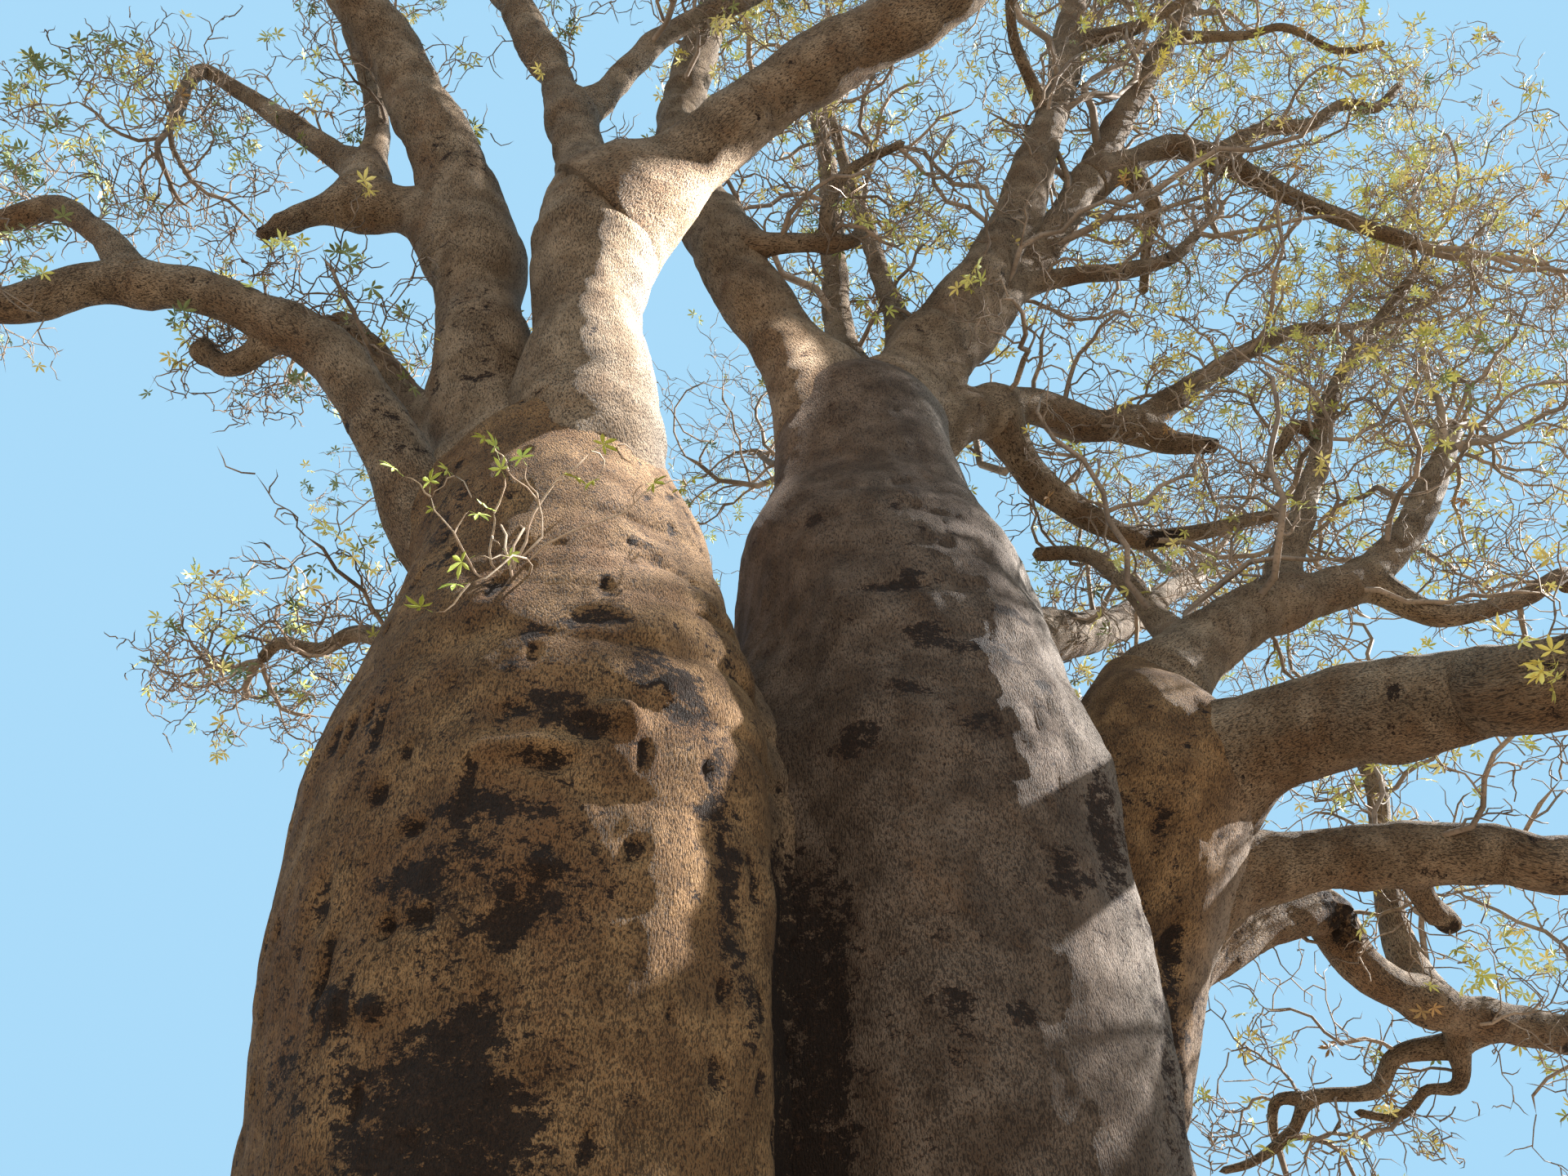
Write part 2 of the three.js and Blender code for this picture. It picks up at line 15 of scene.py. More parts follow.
import bpy
import numpy as np
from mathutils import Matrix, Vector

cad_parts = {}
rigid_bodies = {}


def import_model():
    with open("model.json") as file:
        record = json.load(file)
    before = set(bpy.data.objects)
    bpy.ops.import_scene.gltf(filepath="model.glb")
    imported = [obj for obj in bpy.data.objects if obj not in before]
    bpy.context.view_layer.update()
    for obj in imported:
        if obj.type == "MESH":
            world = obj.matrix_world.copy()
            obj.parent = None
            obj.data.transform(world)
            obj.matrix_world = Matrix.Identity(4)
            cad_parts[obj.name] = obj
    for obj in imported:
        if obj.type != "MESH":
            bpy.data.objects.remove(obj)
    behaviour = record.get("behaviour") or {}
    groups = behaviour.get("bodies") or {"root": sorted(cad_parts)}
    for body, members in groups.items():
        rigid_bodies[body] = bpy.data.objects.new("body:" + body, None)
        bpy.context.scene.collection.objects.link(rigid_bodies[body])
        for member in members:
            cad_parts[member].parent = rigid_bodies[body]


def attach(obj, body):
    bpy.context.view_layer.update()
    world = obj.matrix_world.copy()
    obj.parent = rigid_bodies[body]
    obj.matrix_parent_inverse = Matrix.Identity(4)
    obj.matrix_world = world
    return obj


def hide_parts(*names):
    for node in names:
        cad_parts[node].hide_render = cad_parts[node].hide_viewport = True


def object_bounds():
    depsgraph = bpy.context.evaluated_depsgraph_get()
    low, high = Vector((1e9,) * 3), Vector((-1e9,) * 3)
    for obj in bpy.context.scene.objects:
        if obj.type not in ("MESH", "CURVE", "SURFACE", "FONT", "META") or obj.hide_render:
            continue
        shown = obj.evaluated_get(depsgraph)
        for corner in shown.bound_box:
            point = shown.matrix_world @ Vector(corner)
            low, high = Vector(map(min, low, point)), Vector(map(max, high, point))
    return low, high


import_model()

CAD_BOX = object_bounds()

LOG = logging.getLogger("baobab")
BODY = "root"
SEED = 41
MOST_TRIANGLES = 185_000
TINY = 1e-9

# A unit vector with more than this along Z is steep.
STEEP = 0.9

# Painted sunlight: bark is painted paler and greyer on the side that faces this way, where the key light
# falls. The colours below are the painted sunlit bark and twigs.
SUNNY_SIDE = (0.9, 0.25, 0.35)
SUNLIGHT_PAINT_SHARE = 0.9
PAINTED_SUNLIT_BARK = (0.3, 0.262, 0.22)
PAINTED_SUNLIT_TWIG = (0.38, 0.3, 0.225)

# Noise mixes the three whole numbers of a cell and a seed into one, by these factors.
CELL_FACTORS = np.array([73856093, 19349663, 83492791], dtype=np.uint64)
SEED_FACTOR = 2654435761
MIX_FACTOR = np.uint64(1274126177)
LARGEST_MIX = 65535
LATTICE_SHIFT = 1000.0

Row = Tuple[float, float, float]
Array = np.ndarray


class Slot(str, Enum):
    """The record's material slots."""

    STEM = "stem_bark"
    BOUGH = "bough_bark"
    LEAF = "leaf"


# Plain mathematics on whole arrays.


def unit(vectors: Array) -> Array:
    """Vectors divided by their lengths, along the last axis."""
    return vectors / np.maximum(np.linalg.norm(vectors, axis=-1, keepdims=True), TINY)


def smooth_step(value: Array, low: float, high: float) -> Array:
    """0 below low, 1 above high, and 3t^2 - 2t^3 between them."""
    t = np.clip((value - low) / (high - low), 0.0, 1.0)
    return t * t * (3.0 - 2.0 * t)


def direction_of(heading: float, rise: float) -> Array:
    """The unit vector at a heading from +X and a rise from level, both in degrees."""
    level = math.cos(math.radians(rise))
    turn = math.radians(heading)
    return np.array([level * math.cos(turn), level * math.sin(turn), math.sin(math.radians(rise))])


def across_from(ways: Array) -> Array:
    """A unit vector square to each way: its cross product with Z, or with X where it is steep."""
    steep = np.abs(ways[..., 2:3]) > STEEP
    helper = np.where(steep, np.array([1.0, 0.0, 0.0]), np.array([0.0, 0.0, 1.0]))
    return unit(np.cross(helper, ways))


def turned(ways: Array, away: Array, spin: Array) -> Array:
    """Directions turned away from others by one angle, and spun round them by a second.

    Args:
        ways: unit vectors, one a row.
        away: angles from each way, in degrees.
        spin: angles round each way, in degrees.

    Returns:
        cos(away) of the way plus sin(away) of the side that the spin points to.
    """
    side = across_from(ways)
    other = np.cross(ways, side)
    spin = np.radians(spin)[..., None]
    away = np.radians(away)[..., None]
    outward = np.cos(spin) * side + np.sin(spin) * other
    return unit(np.cos(away) * ways + np.sin(away) * outward)


def noise(points: Array, size: float, seed: int) -> Array:
    """Smooth random field from -1 to 1: values on a cubic lattice, blended by 6t^5 - 15t^4 + 10t^3.

    Args:
        points: places, one a row.
        size: spacing of the lattice, in metres.
        seed: a whole number that picks the field.

    Returns:
        One value for each place.
    """
    scaled = points / size + LATTICE_SHIFT
    cell = np.floor(scaled).astype(np.int64)
    t = scaled - cell
    t = t * t * t * (t * (t * 6.0 - 15.0) + 10.0)
    total = np.zeros(len(points))
    for corner in range(8):
        step = np.array([corner & 1, corner >> 1 & 1, corner >> 2 & 1])
        factors = (cell + step).astype(np.uint64) * CELL_FACTORS
        mixed = np.bitwise_xor.reduce(factors, axis=1) ^ np.uint64(seed * SEED_FACTOR)
        mixed = (mixed ^ mixed >> np.uint64(13)) * MIX_FACTOR
        mixed = (mixed ^ mixed >> np.uint64(16)) & np.uint64(LARGEST_MIX)
        share = np.prod(np.where(step, t, 1.0 - t), axis=1)
        total += share * (mixed.astype(float) / (0.5 * LARGEST_MIX) - 1.0)
    return total


def rough(points: Array, size: float, seed: int, octaves: int = 3) -> Array:
    """Noise with finer and weaker noise added, each octave half as large and half as strong."""
    return sum(noise(points, size / 2**i, seed + i) / 2**i for i in range(octaves))


def bell(value: Array, width: float, power: int = 2) -> Array:
    """exp(-(value / width)^power), which is 1 at 0 and dies away past the width."""
    return np.exp(-((value / width) ** power))


def rounded(share: Array) -> Array:
    """The quarter circle sqrt(1 - (1 - t)^2), from 0 at 0 to 1 at 1."""
    return np.sqrt(1.0 - (1.0 - share) ** 2)


def degrees_from(around: Array, azimuth: float) -> Array:
    """Angles, given in radians, measured from an azimuth in degrees, from -180 to 180."""
    return (np.degrees(around) - azimuth + 180.0) % 360.0 - 180.0


@dataclass(frozen=True)
class Lumps:
    """Lumps of noise: how high and how large they are, their seed and their octaves."""

    height: float
    size: float
    seed: int
    octaves: int = 3

    def at(self, places: Array) -> Array:
        """How far each place stands out."""
        return self.height * rough(places, self.size, self.seed, self.octaves)


@dataclass(frozen=True)
class Patches:
    """Patches where noise runs high: its size and seed, and where the step to 1 starts and ends."""

    size: float
    seed: int
    low: float
    high: float

    def at(self, places: Array) -> Array:
        """1 at each place in a patch, 0 outside, and between them at its edge."""
        return smooth_step(noise(places, self.size, self.seed), self.low, self.high)


# Meshes.


@dataclass
class Surface:
    """Vertices, faces of three or four corners, and values that the vertices carry."""

    vertices: Array
    quads: Array
    triangles: Array
    grain: Optional[Array] = None
    stain: Optional[Array] = None
    warmth: Optional[Array] = None

    def count(self) -> int:
        """How many triangles the surface has."""
        return 2 * len(self.quads) + len(self.triangles)


def joined(surfaces: Sequence[Surface]) -> Surface:
    """Several surfaces as one, with the corners of each renumbered.

    Args:
        surfaces: surfaces that carry no values.

    Returns:
        One surface with all their vertices and faces.
    """
    starts = np.cumsum([0] + [len(s.vertices) for s in surfaces[:-1]])
    return Surface(
        np.concatenate([s.vertices for s in surfaces]),
        np.concatenate([s.quads + start for s, start in zip(surfaces, starts)]),
        np.concatenate([s.triangles + start for s, start in zip(surfaces, starts)]),
    )


def add_piece(
    name: str,
    surface: Surface,
    material: bpy.types.Material,
    replaced: Sequence[str] = (),
) -> bpy.types.Object:
    """Puts a surface into a mesh object at the origin, dresses it and rides it on the tree.

    Args:
        name: the piece's name.
        surface: its vertices and faces.
        material: its finish.
        replaced: the nodes that it stands for.

    Returns:
        The new object.
    """
    mesh = bpy.data.meshes.new(name)
    corners = np.concatenate([surface.quads.ravel(), surface.triangles.ravel()]).astype(np.int32)
    sizes = np.repeat([4, 3], [len(surface.quads), len(surface.triangles)])
    starts = np.concatenate([[0], np.cumsum(sizes)[:-1]]).astype(np.int32)
    mesh.vertices.add(len(surface.vertices))
    mesh.vertices.foreach_set("co", surface.vertices.astype(np.float32).ravel())
    mesh.loops.add(len(corners))
    mesh.loops.foreach_set("vertex_index", corners)
    mesh.polygons.add(len(sizes))
    mesh.polygons.foreach_set("loop_start", starts)
    mesh.polygons.foreach_set("use_smooth", np.ones(len(sizes), dtype=bool))
    mesh.update(calc_edges=True)
    mesh.validate()
    for key, value in {"stain": surface.stain, "warmth": surface.warmth}.items():
        if value is not None:
            attribute = mesh.attributes.new(key, "FLOAT", "POINT")
            attribute.data.foreach_set("value", value.astype(np.float32))
    if surface.grain is not None:
        grain = mesh.attributes.new("grain", "FLOAT_VECTOR", "POINT")
        grain.data.foreach_set("vector", surface.grain.astype(np.float32).ravel())
    mesh.materials.append(material)
    piece = bpy.data.objects.new(name, mesh)
    bpy.context.scene.collection.objects.link(piece)
    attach(piece, BODY)
    if replaced:
        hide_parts(*replaced)
    LOG.info("%s: %d triangles", name, surface.count())
    return piece


def grid_faces(rings: int, sides: int) -> Tuple[Array, Array]:
    """Faces of a closed skin round a row of rings, with one vertex past each end.

    The vertices are the rings in order, then the pole before the first and the pole after the last.

    Args:
        rings: how many rings there are.
        sides: how many vertices each has.

    Returns:
        The quads between the rings, and the triangles that close both ends.
    """
    ring = np.arange(rings - 1)[:, None] * sides
    side = np.arange(sides)[None, :]
    following = (side + 1) % sides
    quads = np.stack([ring + side, ring + following, ring + sides + following, ring + sides + side], -1)
    first = rings * sides
    last = first + 1
    around = np.arange(sides)
    after = (around + 1) % sides
    start = np.stack([np.full(sides, first), after, around], -1)
    top = (rings - 1) * sides
    end = np.stack([np.full(sides, last), top + around, top + after], -1)
    return quads.reshape(-1, 4), np.concatenate([start, end])


# Finishes.


@dataclass(frozen=True)
class Cloud:
    """Noise in a finish: its scale, detail and roughness, and its stretch across and along the wood.

    Step says where a smooth step through it starts and ends.
    """

    scale: float
    detail: float
    roughness: float = 0.5
    stretch: Tuple[float, float] = (1.0, 1.0)
    step: Tuple[float, float] = (0.0, 1.0)


class Nodes:
    """Adds and links nodes in one material or group."""

    # A mix node's colour sockets, which share their names with its other kinds of value.
    FIRST_COLOUR = 6
    SECOND_COLOUR = 7
    MIXED_COLOUR = 2

    def __init__(self, tree: bpy.types.NodeTree) -> None:
        """Keeps the tree that the nodes go into."""
        self.tree = tree

    def put(self, socket: bpy.types.NodeSocket, value: object) -> None:
        """Links a socket to another one, or sets it to a plain value or an opaque colour."""
        if isinstance(value, bpy.types.NodeSocket):
            self.tree.links.new(value, socket)
        elif socket.type == "RGBA":
            socket.default_value = (*value, 1.0)
        else:
            socket.default_value = value

    def add(self, kind: str, inputs: Dict[object, object], **options: object) -> bpy.types.Node:
        """Adds a node.

        Args:
            kind: the node's type name.
            inputs: what goes into its sockets, by name or number.
            options: its own settings.

        Returns:
            The node.
        """
        node = self.tree.nodes.new(kind)
        for key, value in options.items():
            setattr(node, key, value)
        for key, value in inputs.items():
            self.put(node.inputs[key], value)
        return node

    def math(self, operation: str, *values: object) -> bpy.types.NodeSocket:
        """One sum, product or the like of one to three numbers."""
        inputs = dict(enumerate(values))
        return self.add("ShaderNodeMath", inputs, operation=operation).outputs[0]

    def times(self, value: object, factor: object) -> bpy.types.NodeSocket:
        """One number times another."""
        return self.math("MULTIPLY", value, factor)

    def times_plus(self, value: object, factor: object, more: object) -> bpy.types.NodeSocket:
        """One number times another, plus a third."""
        return self.math("MULTIPLY_ADD", value, factor, more)

    def ramp(self, value: object, low: object, high: object) -> bpy.types.NodeSocket:
        """A smooth step from 0 at low to 1 at high."""
        inputs = {"Value": value, "From Min": low, "From Max": high}
        node = self.add("ShaderNodeMapRange", inputs, interpolation_type="SMOOTHSTEP")
        return node.outputs["Result"]

    def mix(self, share: object, first: object, second: object) -> bpy.types.NodeSocket:
        """A colour between two others."""
        inputs = {"Factor": share, self.FIRST_COLOUR: first, self.SECOND_COLOUR: second}
        return self.add("ShaderNodeMix", inputs, data_type="RGBA").outputs[self.MIXED_COLOUR]

    def cloud(self, vector: object, cloud: Cloud) -> bpy.types.NodeSocket:
        """Noise from 0 to 1, on a vector whose X and Y have one stretch and its Z the other."""
        across, along = cloud.stretch
        inputs = {0: vector, 1: (across, across, along)}
        stretched = self.add("ShaderNodeVectorMath", inputs, operation="MULTIPLY").outputs[0]
        inputs = {"Vector": stretched, "Scale": cloud.scale, "Detail": cloud.detail}
        return self.add("ShaderNodeTexNoise", {**inputs, "Roughness": cloud.roughness}).outputs[0]

    def stepped(self, vector: object, cloud: Cloud) -> bpy.types.NodeSocket:
        """The smooth step through a cloud."""
        return self.ramp(self.cloud(vector, cloud), *cloud.step)

    def dress(self, sheen: float, relief: float, depth: float, **looks: object) -> None:
        """Sets the material's shader.

        Args:
            sheen: its specular level.
            relief: the strength of its bumps.
            depth: how deep they are, in metres.
            looks: its colour, roughness and the height of its bumps.
        """
        inputs = {"Strength": relief, "Distance": depth, "Height": looks["height"]}
        bump = self.add("ShaderNodeBump", inputs)
        shader = self.tree.nodes["Principled BSDF"]
        self.put(shader.inputs["Base Color"], looks["colour"])
        self.put(shader.inputs["Roughness"], looks["roughness"])
        self.put(shader.inputs["Specular IOR Level"], sheen)
        self.put(shader.inputs["Normal"], bump.outputs["Normal"])


def new_material(name: str) -> Tuple[bpy.types.Material, Nodes]:
    """A new material, and what adds nodes to it."""
    material = bpy.data.materials.new(name)
    material.use_nodes = True
    return material, Nodes(material.node_tree)


def new_group(
    name: str, covers: Dict[str, float], outputs: Sequence[str]
) -> Tuple[bpy.types.NodeTree, Nodes]:
    """An empty shader group that takes Vector and some numbers, and puts out others.

    Args:
        name: the group's name.
        covers: the numbers that it takes, each with its starting value.
        outputs: names of the numbers that it puts out.

    Returns:
        The group, and what adds nodes to it.
    """
    group = bpy.data.node_groups.new(name, "ShaderNodeTree")
    group.interface.new_socket(name="Vector", in_out="INPUT", socket_type="NodeSocketVector")
    for key, value in covers.items():
        socket = group.interface.new_socket(name=key, in_out="INPUT", socket_type="NodeSocketFloat")
        socket.default_value = value
    for key in outputs:
        group.interface.new_socket(name=key, in_out="OUTPUT", socket_type="NodeSocketFloat")
    return group, Nodes(group)


# Dashes: a higher level leaves fewer, and an edge is how softly one starts.
DASH_ROWS = Cloud(1.0, 3.0, stretch=(5.0, 3.0))
DASH_ROWS_SHARE = 0.16
DASH_LEVEL = 0.76
COARSE_DASHES = Cloud(1.0, 2.0, 0.45, (150.0, 52.0))
COARSE_EDGE = 0.07
FINE_DASHES = Cloud(1.0, 2.0, 0.5, (310.0, 120.0))
FINE_EDGE = 0.08
FINE_SHARE = 0.75
LUMP_HEIGHT = 1.1
DASH_DEPTH = 0.9

# Blotches: drawn ones count for less than noise does, and the rim starts before the blotch.
BLOTCHES = Cloud(11.0, 4.5, 0.9, (0.8, 1.25))
BLOTCH_LEVEL = 0.77
BLOTCH_EDGE = 0.03
DRAWN_SHARE = 0.23
RIM_EDGE = (0.06, 0.02)


def dash_group() -> bpy.types.NodeTree:
    """Short dark dashes in rows along the wood, where noise that is stretched along it runs high.

    Returns:
        A group that puts out Mask, 1 in a dash, and Height, the lumps between dashes.
    """
    group, nodes = new_group("bark dashes", {"Cover": 0.1}, ["Mask", "Height"])
    given = nodes.add("NodeGroupInput", {}).outputs
    rows = nodes.cloud(given["Vector"], DASH_ROWS)
    level = nodes.math("SUBTRACT", DASH_LEVEL, given["Cover"])
    level = nodes.times_plus(rows, -DASH_ROWS_SHARE, level)
    coarse = nodes.cloud(given["Vector"], COARSE_DASHES)
    fine = nodes.cloud(given["Vector"], FINE_DASHES)
    coarse_dash = nodes.ramp(coarse, level, nodes.math("ADD", level, COARSE_EDGE))
    fine_dash = nodes.ramp(fine, level, nodes.math("ADD", level, FINE_EDGE))
    mask = nodes.math("MAXIMUM", coarse_dash, nodes.times(fine_dash, FINE_SHARE))
    lumps = nodes.times(coarse, -LUMP_HEIGHT)
    height = nodes.math("SUBTRACT", lumps, nodes.times(mask, DASH_DEPTH))
    nodes.add("NodeGroupOutput", {"Mask": mask, "Height": height})
    return group


def blotch_group() -> bpy.types.NodeTree:
    """Ragged dark blotches where the outer bark has weathered off, with a rusty rim.

    Returns:
        A group that puts out Mask, 1 in a blotch, and Rim, 1 in it and round it. Stain is a value
        from 0 to 1 that draws blotches in.
    """
    group, nodes = new_group("bark blotches", {"Stain": 0.0, "Cover": 0.1}, ["Mask", "Rim"])
    given = nodes.add("NodeGroupInput", {}).outputs
    drawn = nodes.times_plus(given["Stain"], DRAWN_SHARE, nodes.cloud(given["Vector"], BLOTCHES))
    level = nodes.math("SUBTRACT", BLOTCH_LEVEL, given["Cover"])
    mask = nodes.ramp(drawn, level, nodes.math("ADD", level, BLOTCH_EDGE))
    before = nodes.math("SUBTRACT", level, RIM_EDGE[0])
    rim = nodes.ramp(drawn, before, nodes.math("ADD", level, RIM_EDGE[1]))
    nodes.add("NodeGroupOutput", {"Mask": mask, "Rim": rim})
    return group


@dataclass(frozen=True)
class BarkFinish:
    """Pitted bark: its colours, and how much of it each of its marks covers."""

    name: str
    pale: Row
    middle: Row
    warm_cover: float
    blotch_cover: float
    warm: Row = (0.16, 0.078, 0.032)
    rust: Row = (0.085, 0.042, 0.022)
    blotch: Row = (0.018, 0.01, 0.006)
    dash_cover: float = 0.12
    relief: float = 0.9

    MOTTLE = Cloud(5.0, 6.0, 0.6, step=(0.35, 0.68))
    TAN = Cloud(3.4, 10.0, 0.7, (1.0, 0.7), (0.56, 0.86))
    SPECKS = Cloud(60.0, 4.0, 0.65, (1.0, 0.45), (0.52, 0.72))
    DOTS = Cloud(46.0, 1.0, step=(0.655, 0.7))
    CRUMBS = Cloud(34.0, 4.0, 0.8, step=(0.5, 0.66))

    # Steps through warmth, for dots on warm bark and for the painted sunlight on cool bark.
    DOTTED = (0.15, 0.6)
    PAINTED_SUN_STEP = (0.0, 0.7)

    # How much warmth adds to the tan noise, and how dark a speck is.
    WARMED = 0.3
    SPECK_TONE = 0.42

    # How strongly each mark, and the painted sunlight, colours the bark, from 0 to 1.
    PAINTED_SUN_MIX = 0.7
    SPECK_SHARE = 0.4
    RIM_SHARE = 0.6
    DASH_SHARE = 0.74
    CRUMB_SHARE = 0.6
    BLOTCH_SHARE = 0.93
    DOT_SHARE = 0.8

    # How far each mark stands out, as a share of the relief's depth.
    SPECK_HEIGHT = 0.4
    BLOTCH_HEIGHT = -0.4
    DOT_HEIGHT = -1.0
    CRUMB_HEIGHT = 0.5

    # Smooth and rough bark, the specular level, and the relief's depth in metres.
    ROUGHNESS = 0.94
    SMOOTHER = -0.12
    SHEEN = 0.25
    DEPTH = 0.016

    def material(self, dashes: bpy.types.NodeTree, blotches: bpy.types.NodeTree) -> bpy.types.Material:
        """Builds the material.

        Args:
            dashes: the shared group of dashes.
            blotches: the shared group of blotches.

        Returns:
            A material that reads the attributes grain, stain and warmth. Stain carries painted shade in
            the clefts between stems as well as real stains, and warmth carries painted sunlight and
            painted bounce light as well as the bark's own warmth.
        """
        material, nodes = new_material(self.name)
        grain = nodes.add("ShaderNodeAttribute", {}, attribute_name="grain").outputs["Vector"]
        stain = nodes.add("ShaderNodeAttribute", {}, attribute_name="stain").outputs["Fac"]
        warmth = nodes.add("ShaderNodeAttribute", {}, attribute_name="warmth").outputs["Fac"]
        inputs = {"Vector": grain, "Cover": self.dash_cover}
        dash = nodes.add("ShaderNodeGroup", inputs, node_tree=dashes).outputs
        inputs = {"Vector": grain, "Stain": stain, "Cover": self.blotch_cover}
        blotch = nodes.add("ShaderNodeGroup", inputs, node_tree=blotches).outputs
        mottle = nodes.stepped(grain, self.MOTTLE)
        colour = nodes.mix(mottle, self.middle, self.pale)
        warmed = nodes.times_plus(warmth, self.WARMED, nodes.cloud(grain, self.TAN))
        warm_share = nodes.times(nodes.ramp(warmed, *self.TAN.step), self.warm_cover)
        colour = nodes.mix(warm_share, colour, self.warm)
        # Painted sunlight: where warmth falls below 0, on the side that the key light falls on, the bark
        # is painted paler and greyer.
        painted_sun = nodes.ramp(nodes.times(warmth, -1.0), *self.PAINTED_SUN_STEP)
        colour = nodes.mix(nodes.times(painted_sun, self.PAINTED_SUN_MIX), colour, PAINTED_SUNLIT_BARK)
        speck = nodes.cloud(grain, self.SPECKS)
        shade = nodes.times(nodes.ramp(speck, *self.SPECKS.step), self.SPECK_SHARE)
        colour = nodes.mix(shade, colour, tuple(self.SPECK_TONE * c for c in self.middle))
        colour = nodes.mix(nodes.times(blotch["Rim"], self.RIM_SHARE), colour, self.rust)
        colour = nodes.mix(nodes.times(dash["Mask"], self.DASH_SHARE), colour, self.blotch)
        crumbs = nodes.stepped(grain, self.CRUMBS)
        bare = nodes.mix(nodes.times(crumbs, self.CRUMB_SHARE), self.blotch, self.rust)
        colour = nodes.mix(nodes.times(blotch["Mask"], self.BLOTCH_SHARE), colour, bare)
        dots = nodes.times(nodes.stepped(grain, self.DOTS), nodes.ramp(warmth, *self.DOTTED))
        colour = nodes.mix(nodes.times(dots, self.DOT_SHARE), colour, self.blotch)
        height = nodes.times_plus(speck, self.SPECK_HEIGHT, dash["Height"])
        height = nodes.times_plus(blotch["Mask"], self.BLOTCH_HEIGHT, height)
        height = nodes.times_plus(dots, self.DOT_HEIGHT, height)
        height = nodes.times_plus(nodes.times(crumbs, blotch["Mask"]), self.CRUMB_HEIGHT, height)
        wear = nodes.times_plus(mottle, self.SMOOTHER, self.ROUGHNESS)
        nodes.dress(self.SHEEN, self.relief, self.DEPTH, colour=colour, roughness=wear, height=height)
        return material


@dataclass(frozen=True)
class TwigFinish:
    """Thin bark of twigs, streaked between two tones, and painted paler towards +X, the side that the key
    light falls on, as painted sunlight.
    """

    name: str
    pale: Row
    dark: Row
    painted_sunlight: float

    TONE = Cloud(2.3, 5.0, 0.6, step=(0.36, 0.66))
    KNOTS = Cloud(55.0, 3.0, step=(0.5, 0.75))
    KNOT_TONE = 0.5
    KNOT_SHARE = 0.6

    # From where to where along X the painted sunlight grows.
    SUNNY = (-2.5, 4.0)
    ROUGHNESS = 0.72
    ROUGHER = 0.2
    SHEEN = 0.3
    RELIEF = 0.5
    DEPTH = 0.004

    def material(self) -> bpy.types.Material:
        """Builds the material from noise on object coordinates.

        Returns:
            The material.
        """
        material, nodes = new_material(self.name)
        place = nodes.add("ShaderNodeTexCoord", {}).outputs["Object"]
        colour = nodes.mix(nodes.stepped(place, self.TONE), self.dark, self.pale)
        across = nodes.add("ShaderNodeSeparateXYZ", {0: place}).outputs["X"]
        # Painted sunlight: twigs are painted paler towards +X, where the key light falls.
        sunny = nodes.times(nodes.ramp(across, *self.SUNNY), self.painted_sunlight)
        colour = nodes.mix(sunny, colour, PAINTED_SUNLIT_TWIG)
        knots = nodes.cloud(place, self.KNOTS)
        knot_share = nodes.times(nodes.ramp(knots, *self.KNOTS.step), self.KNOT_SHARE)
        colour = nodes.mix(knot_share, colour, tuple(self.KNOT_TONE * c for c in self.dark))
        wear = nodes.times_plus(knots, self.ROUGHER, self.ROUGHNESS)
        nodes.dress(self.SHEEN, self.RELIEF, self.DEPTH, colour=colour, roughness=wear, height=knots)
        return material


@dataclass(frozen=True)
class LeafFinish:
    """One tint of leaf, with a slightly paler or darker tone from spray to spray."""

    name: str
    tint: Row
    shade: Row

    TONE = Cloud(3.5, 3.0, step=(0.38, 0.64))
    VEINS = Cloud(90.0, 2.0)
    ROUGHNESS = 0.42
    ROUGHER = 0.25
    SHEEN = 0.35
    RELIEF = 0.35
    DEPTH = 0.002

    def material(self) -> bpy.types.Material:
        """Builds the material from noise on object coordinates.

        Returns:
            The material.
        """
        material, nodes = new_material(self.name)
        place = nodes.add("ShaderNodeTexCoord", {}).outputs["Object"]
        colour = nodes.mix(nodes.stepped(place, self.TONE), self.shade, self.tint)
        veins = nodes.cloud(place, self.VEINS)
        wear = nodes.times_plus(veins, self.ROUGHER, self.ROUGHNESS)
        nodes.dress(self.SHEEN, self.RELIEF, self.DEPTH, colour=colour, roughness=wear, height=veins)
        return material


# The finishes of this tree.
BROWN = ((0.3, 0.17, 0.073), (0.144, 0.077, 0.033))
GREY = ((0.158, 0.108, 0.073), (0.076, 0.048, 0.03))
PALE = ((0.31, 0.222, 0.142), (0.172, 0.115, 0.068))
BARKS = {
    "left_stem": BarkFinish("left stem bark", *BROWN, 0.9, 0.145),
    "right_stem": BarkFinish("right stem bark", *GREY, 0.6, 0.135),
    "side_stem": BarkFinish("side stem bark", *BROWN, 0.7, 0.135),
    "bough": BarkFinish("bough bark", *PALE, 0.65, 0.11),
}
TWIG_BARK = TwigFinish("twig bark", (0.34, 0.25, 0.18), (0.12, 0.085, 0.06), 0.22)
SHOOT_BARK = TwigFinish("shoot bark", (0.5, 0.4, 0.29), (0.34, 0.22, 0.14), 0.0)
YOUNG_LEAF = LeafFinish("young leaf", (0.52, 0.58, 0.12), (0.38, 0.45, 0.07))


# Lines that limbs follow.


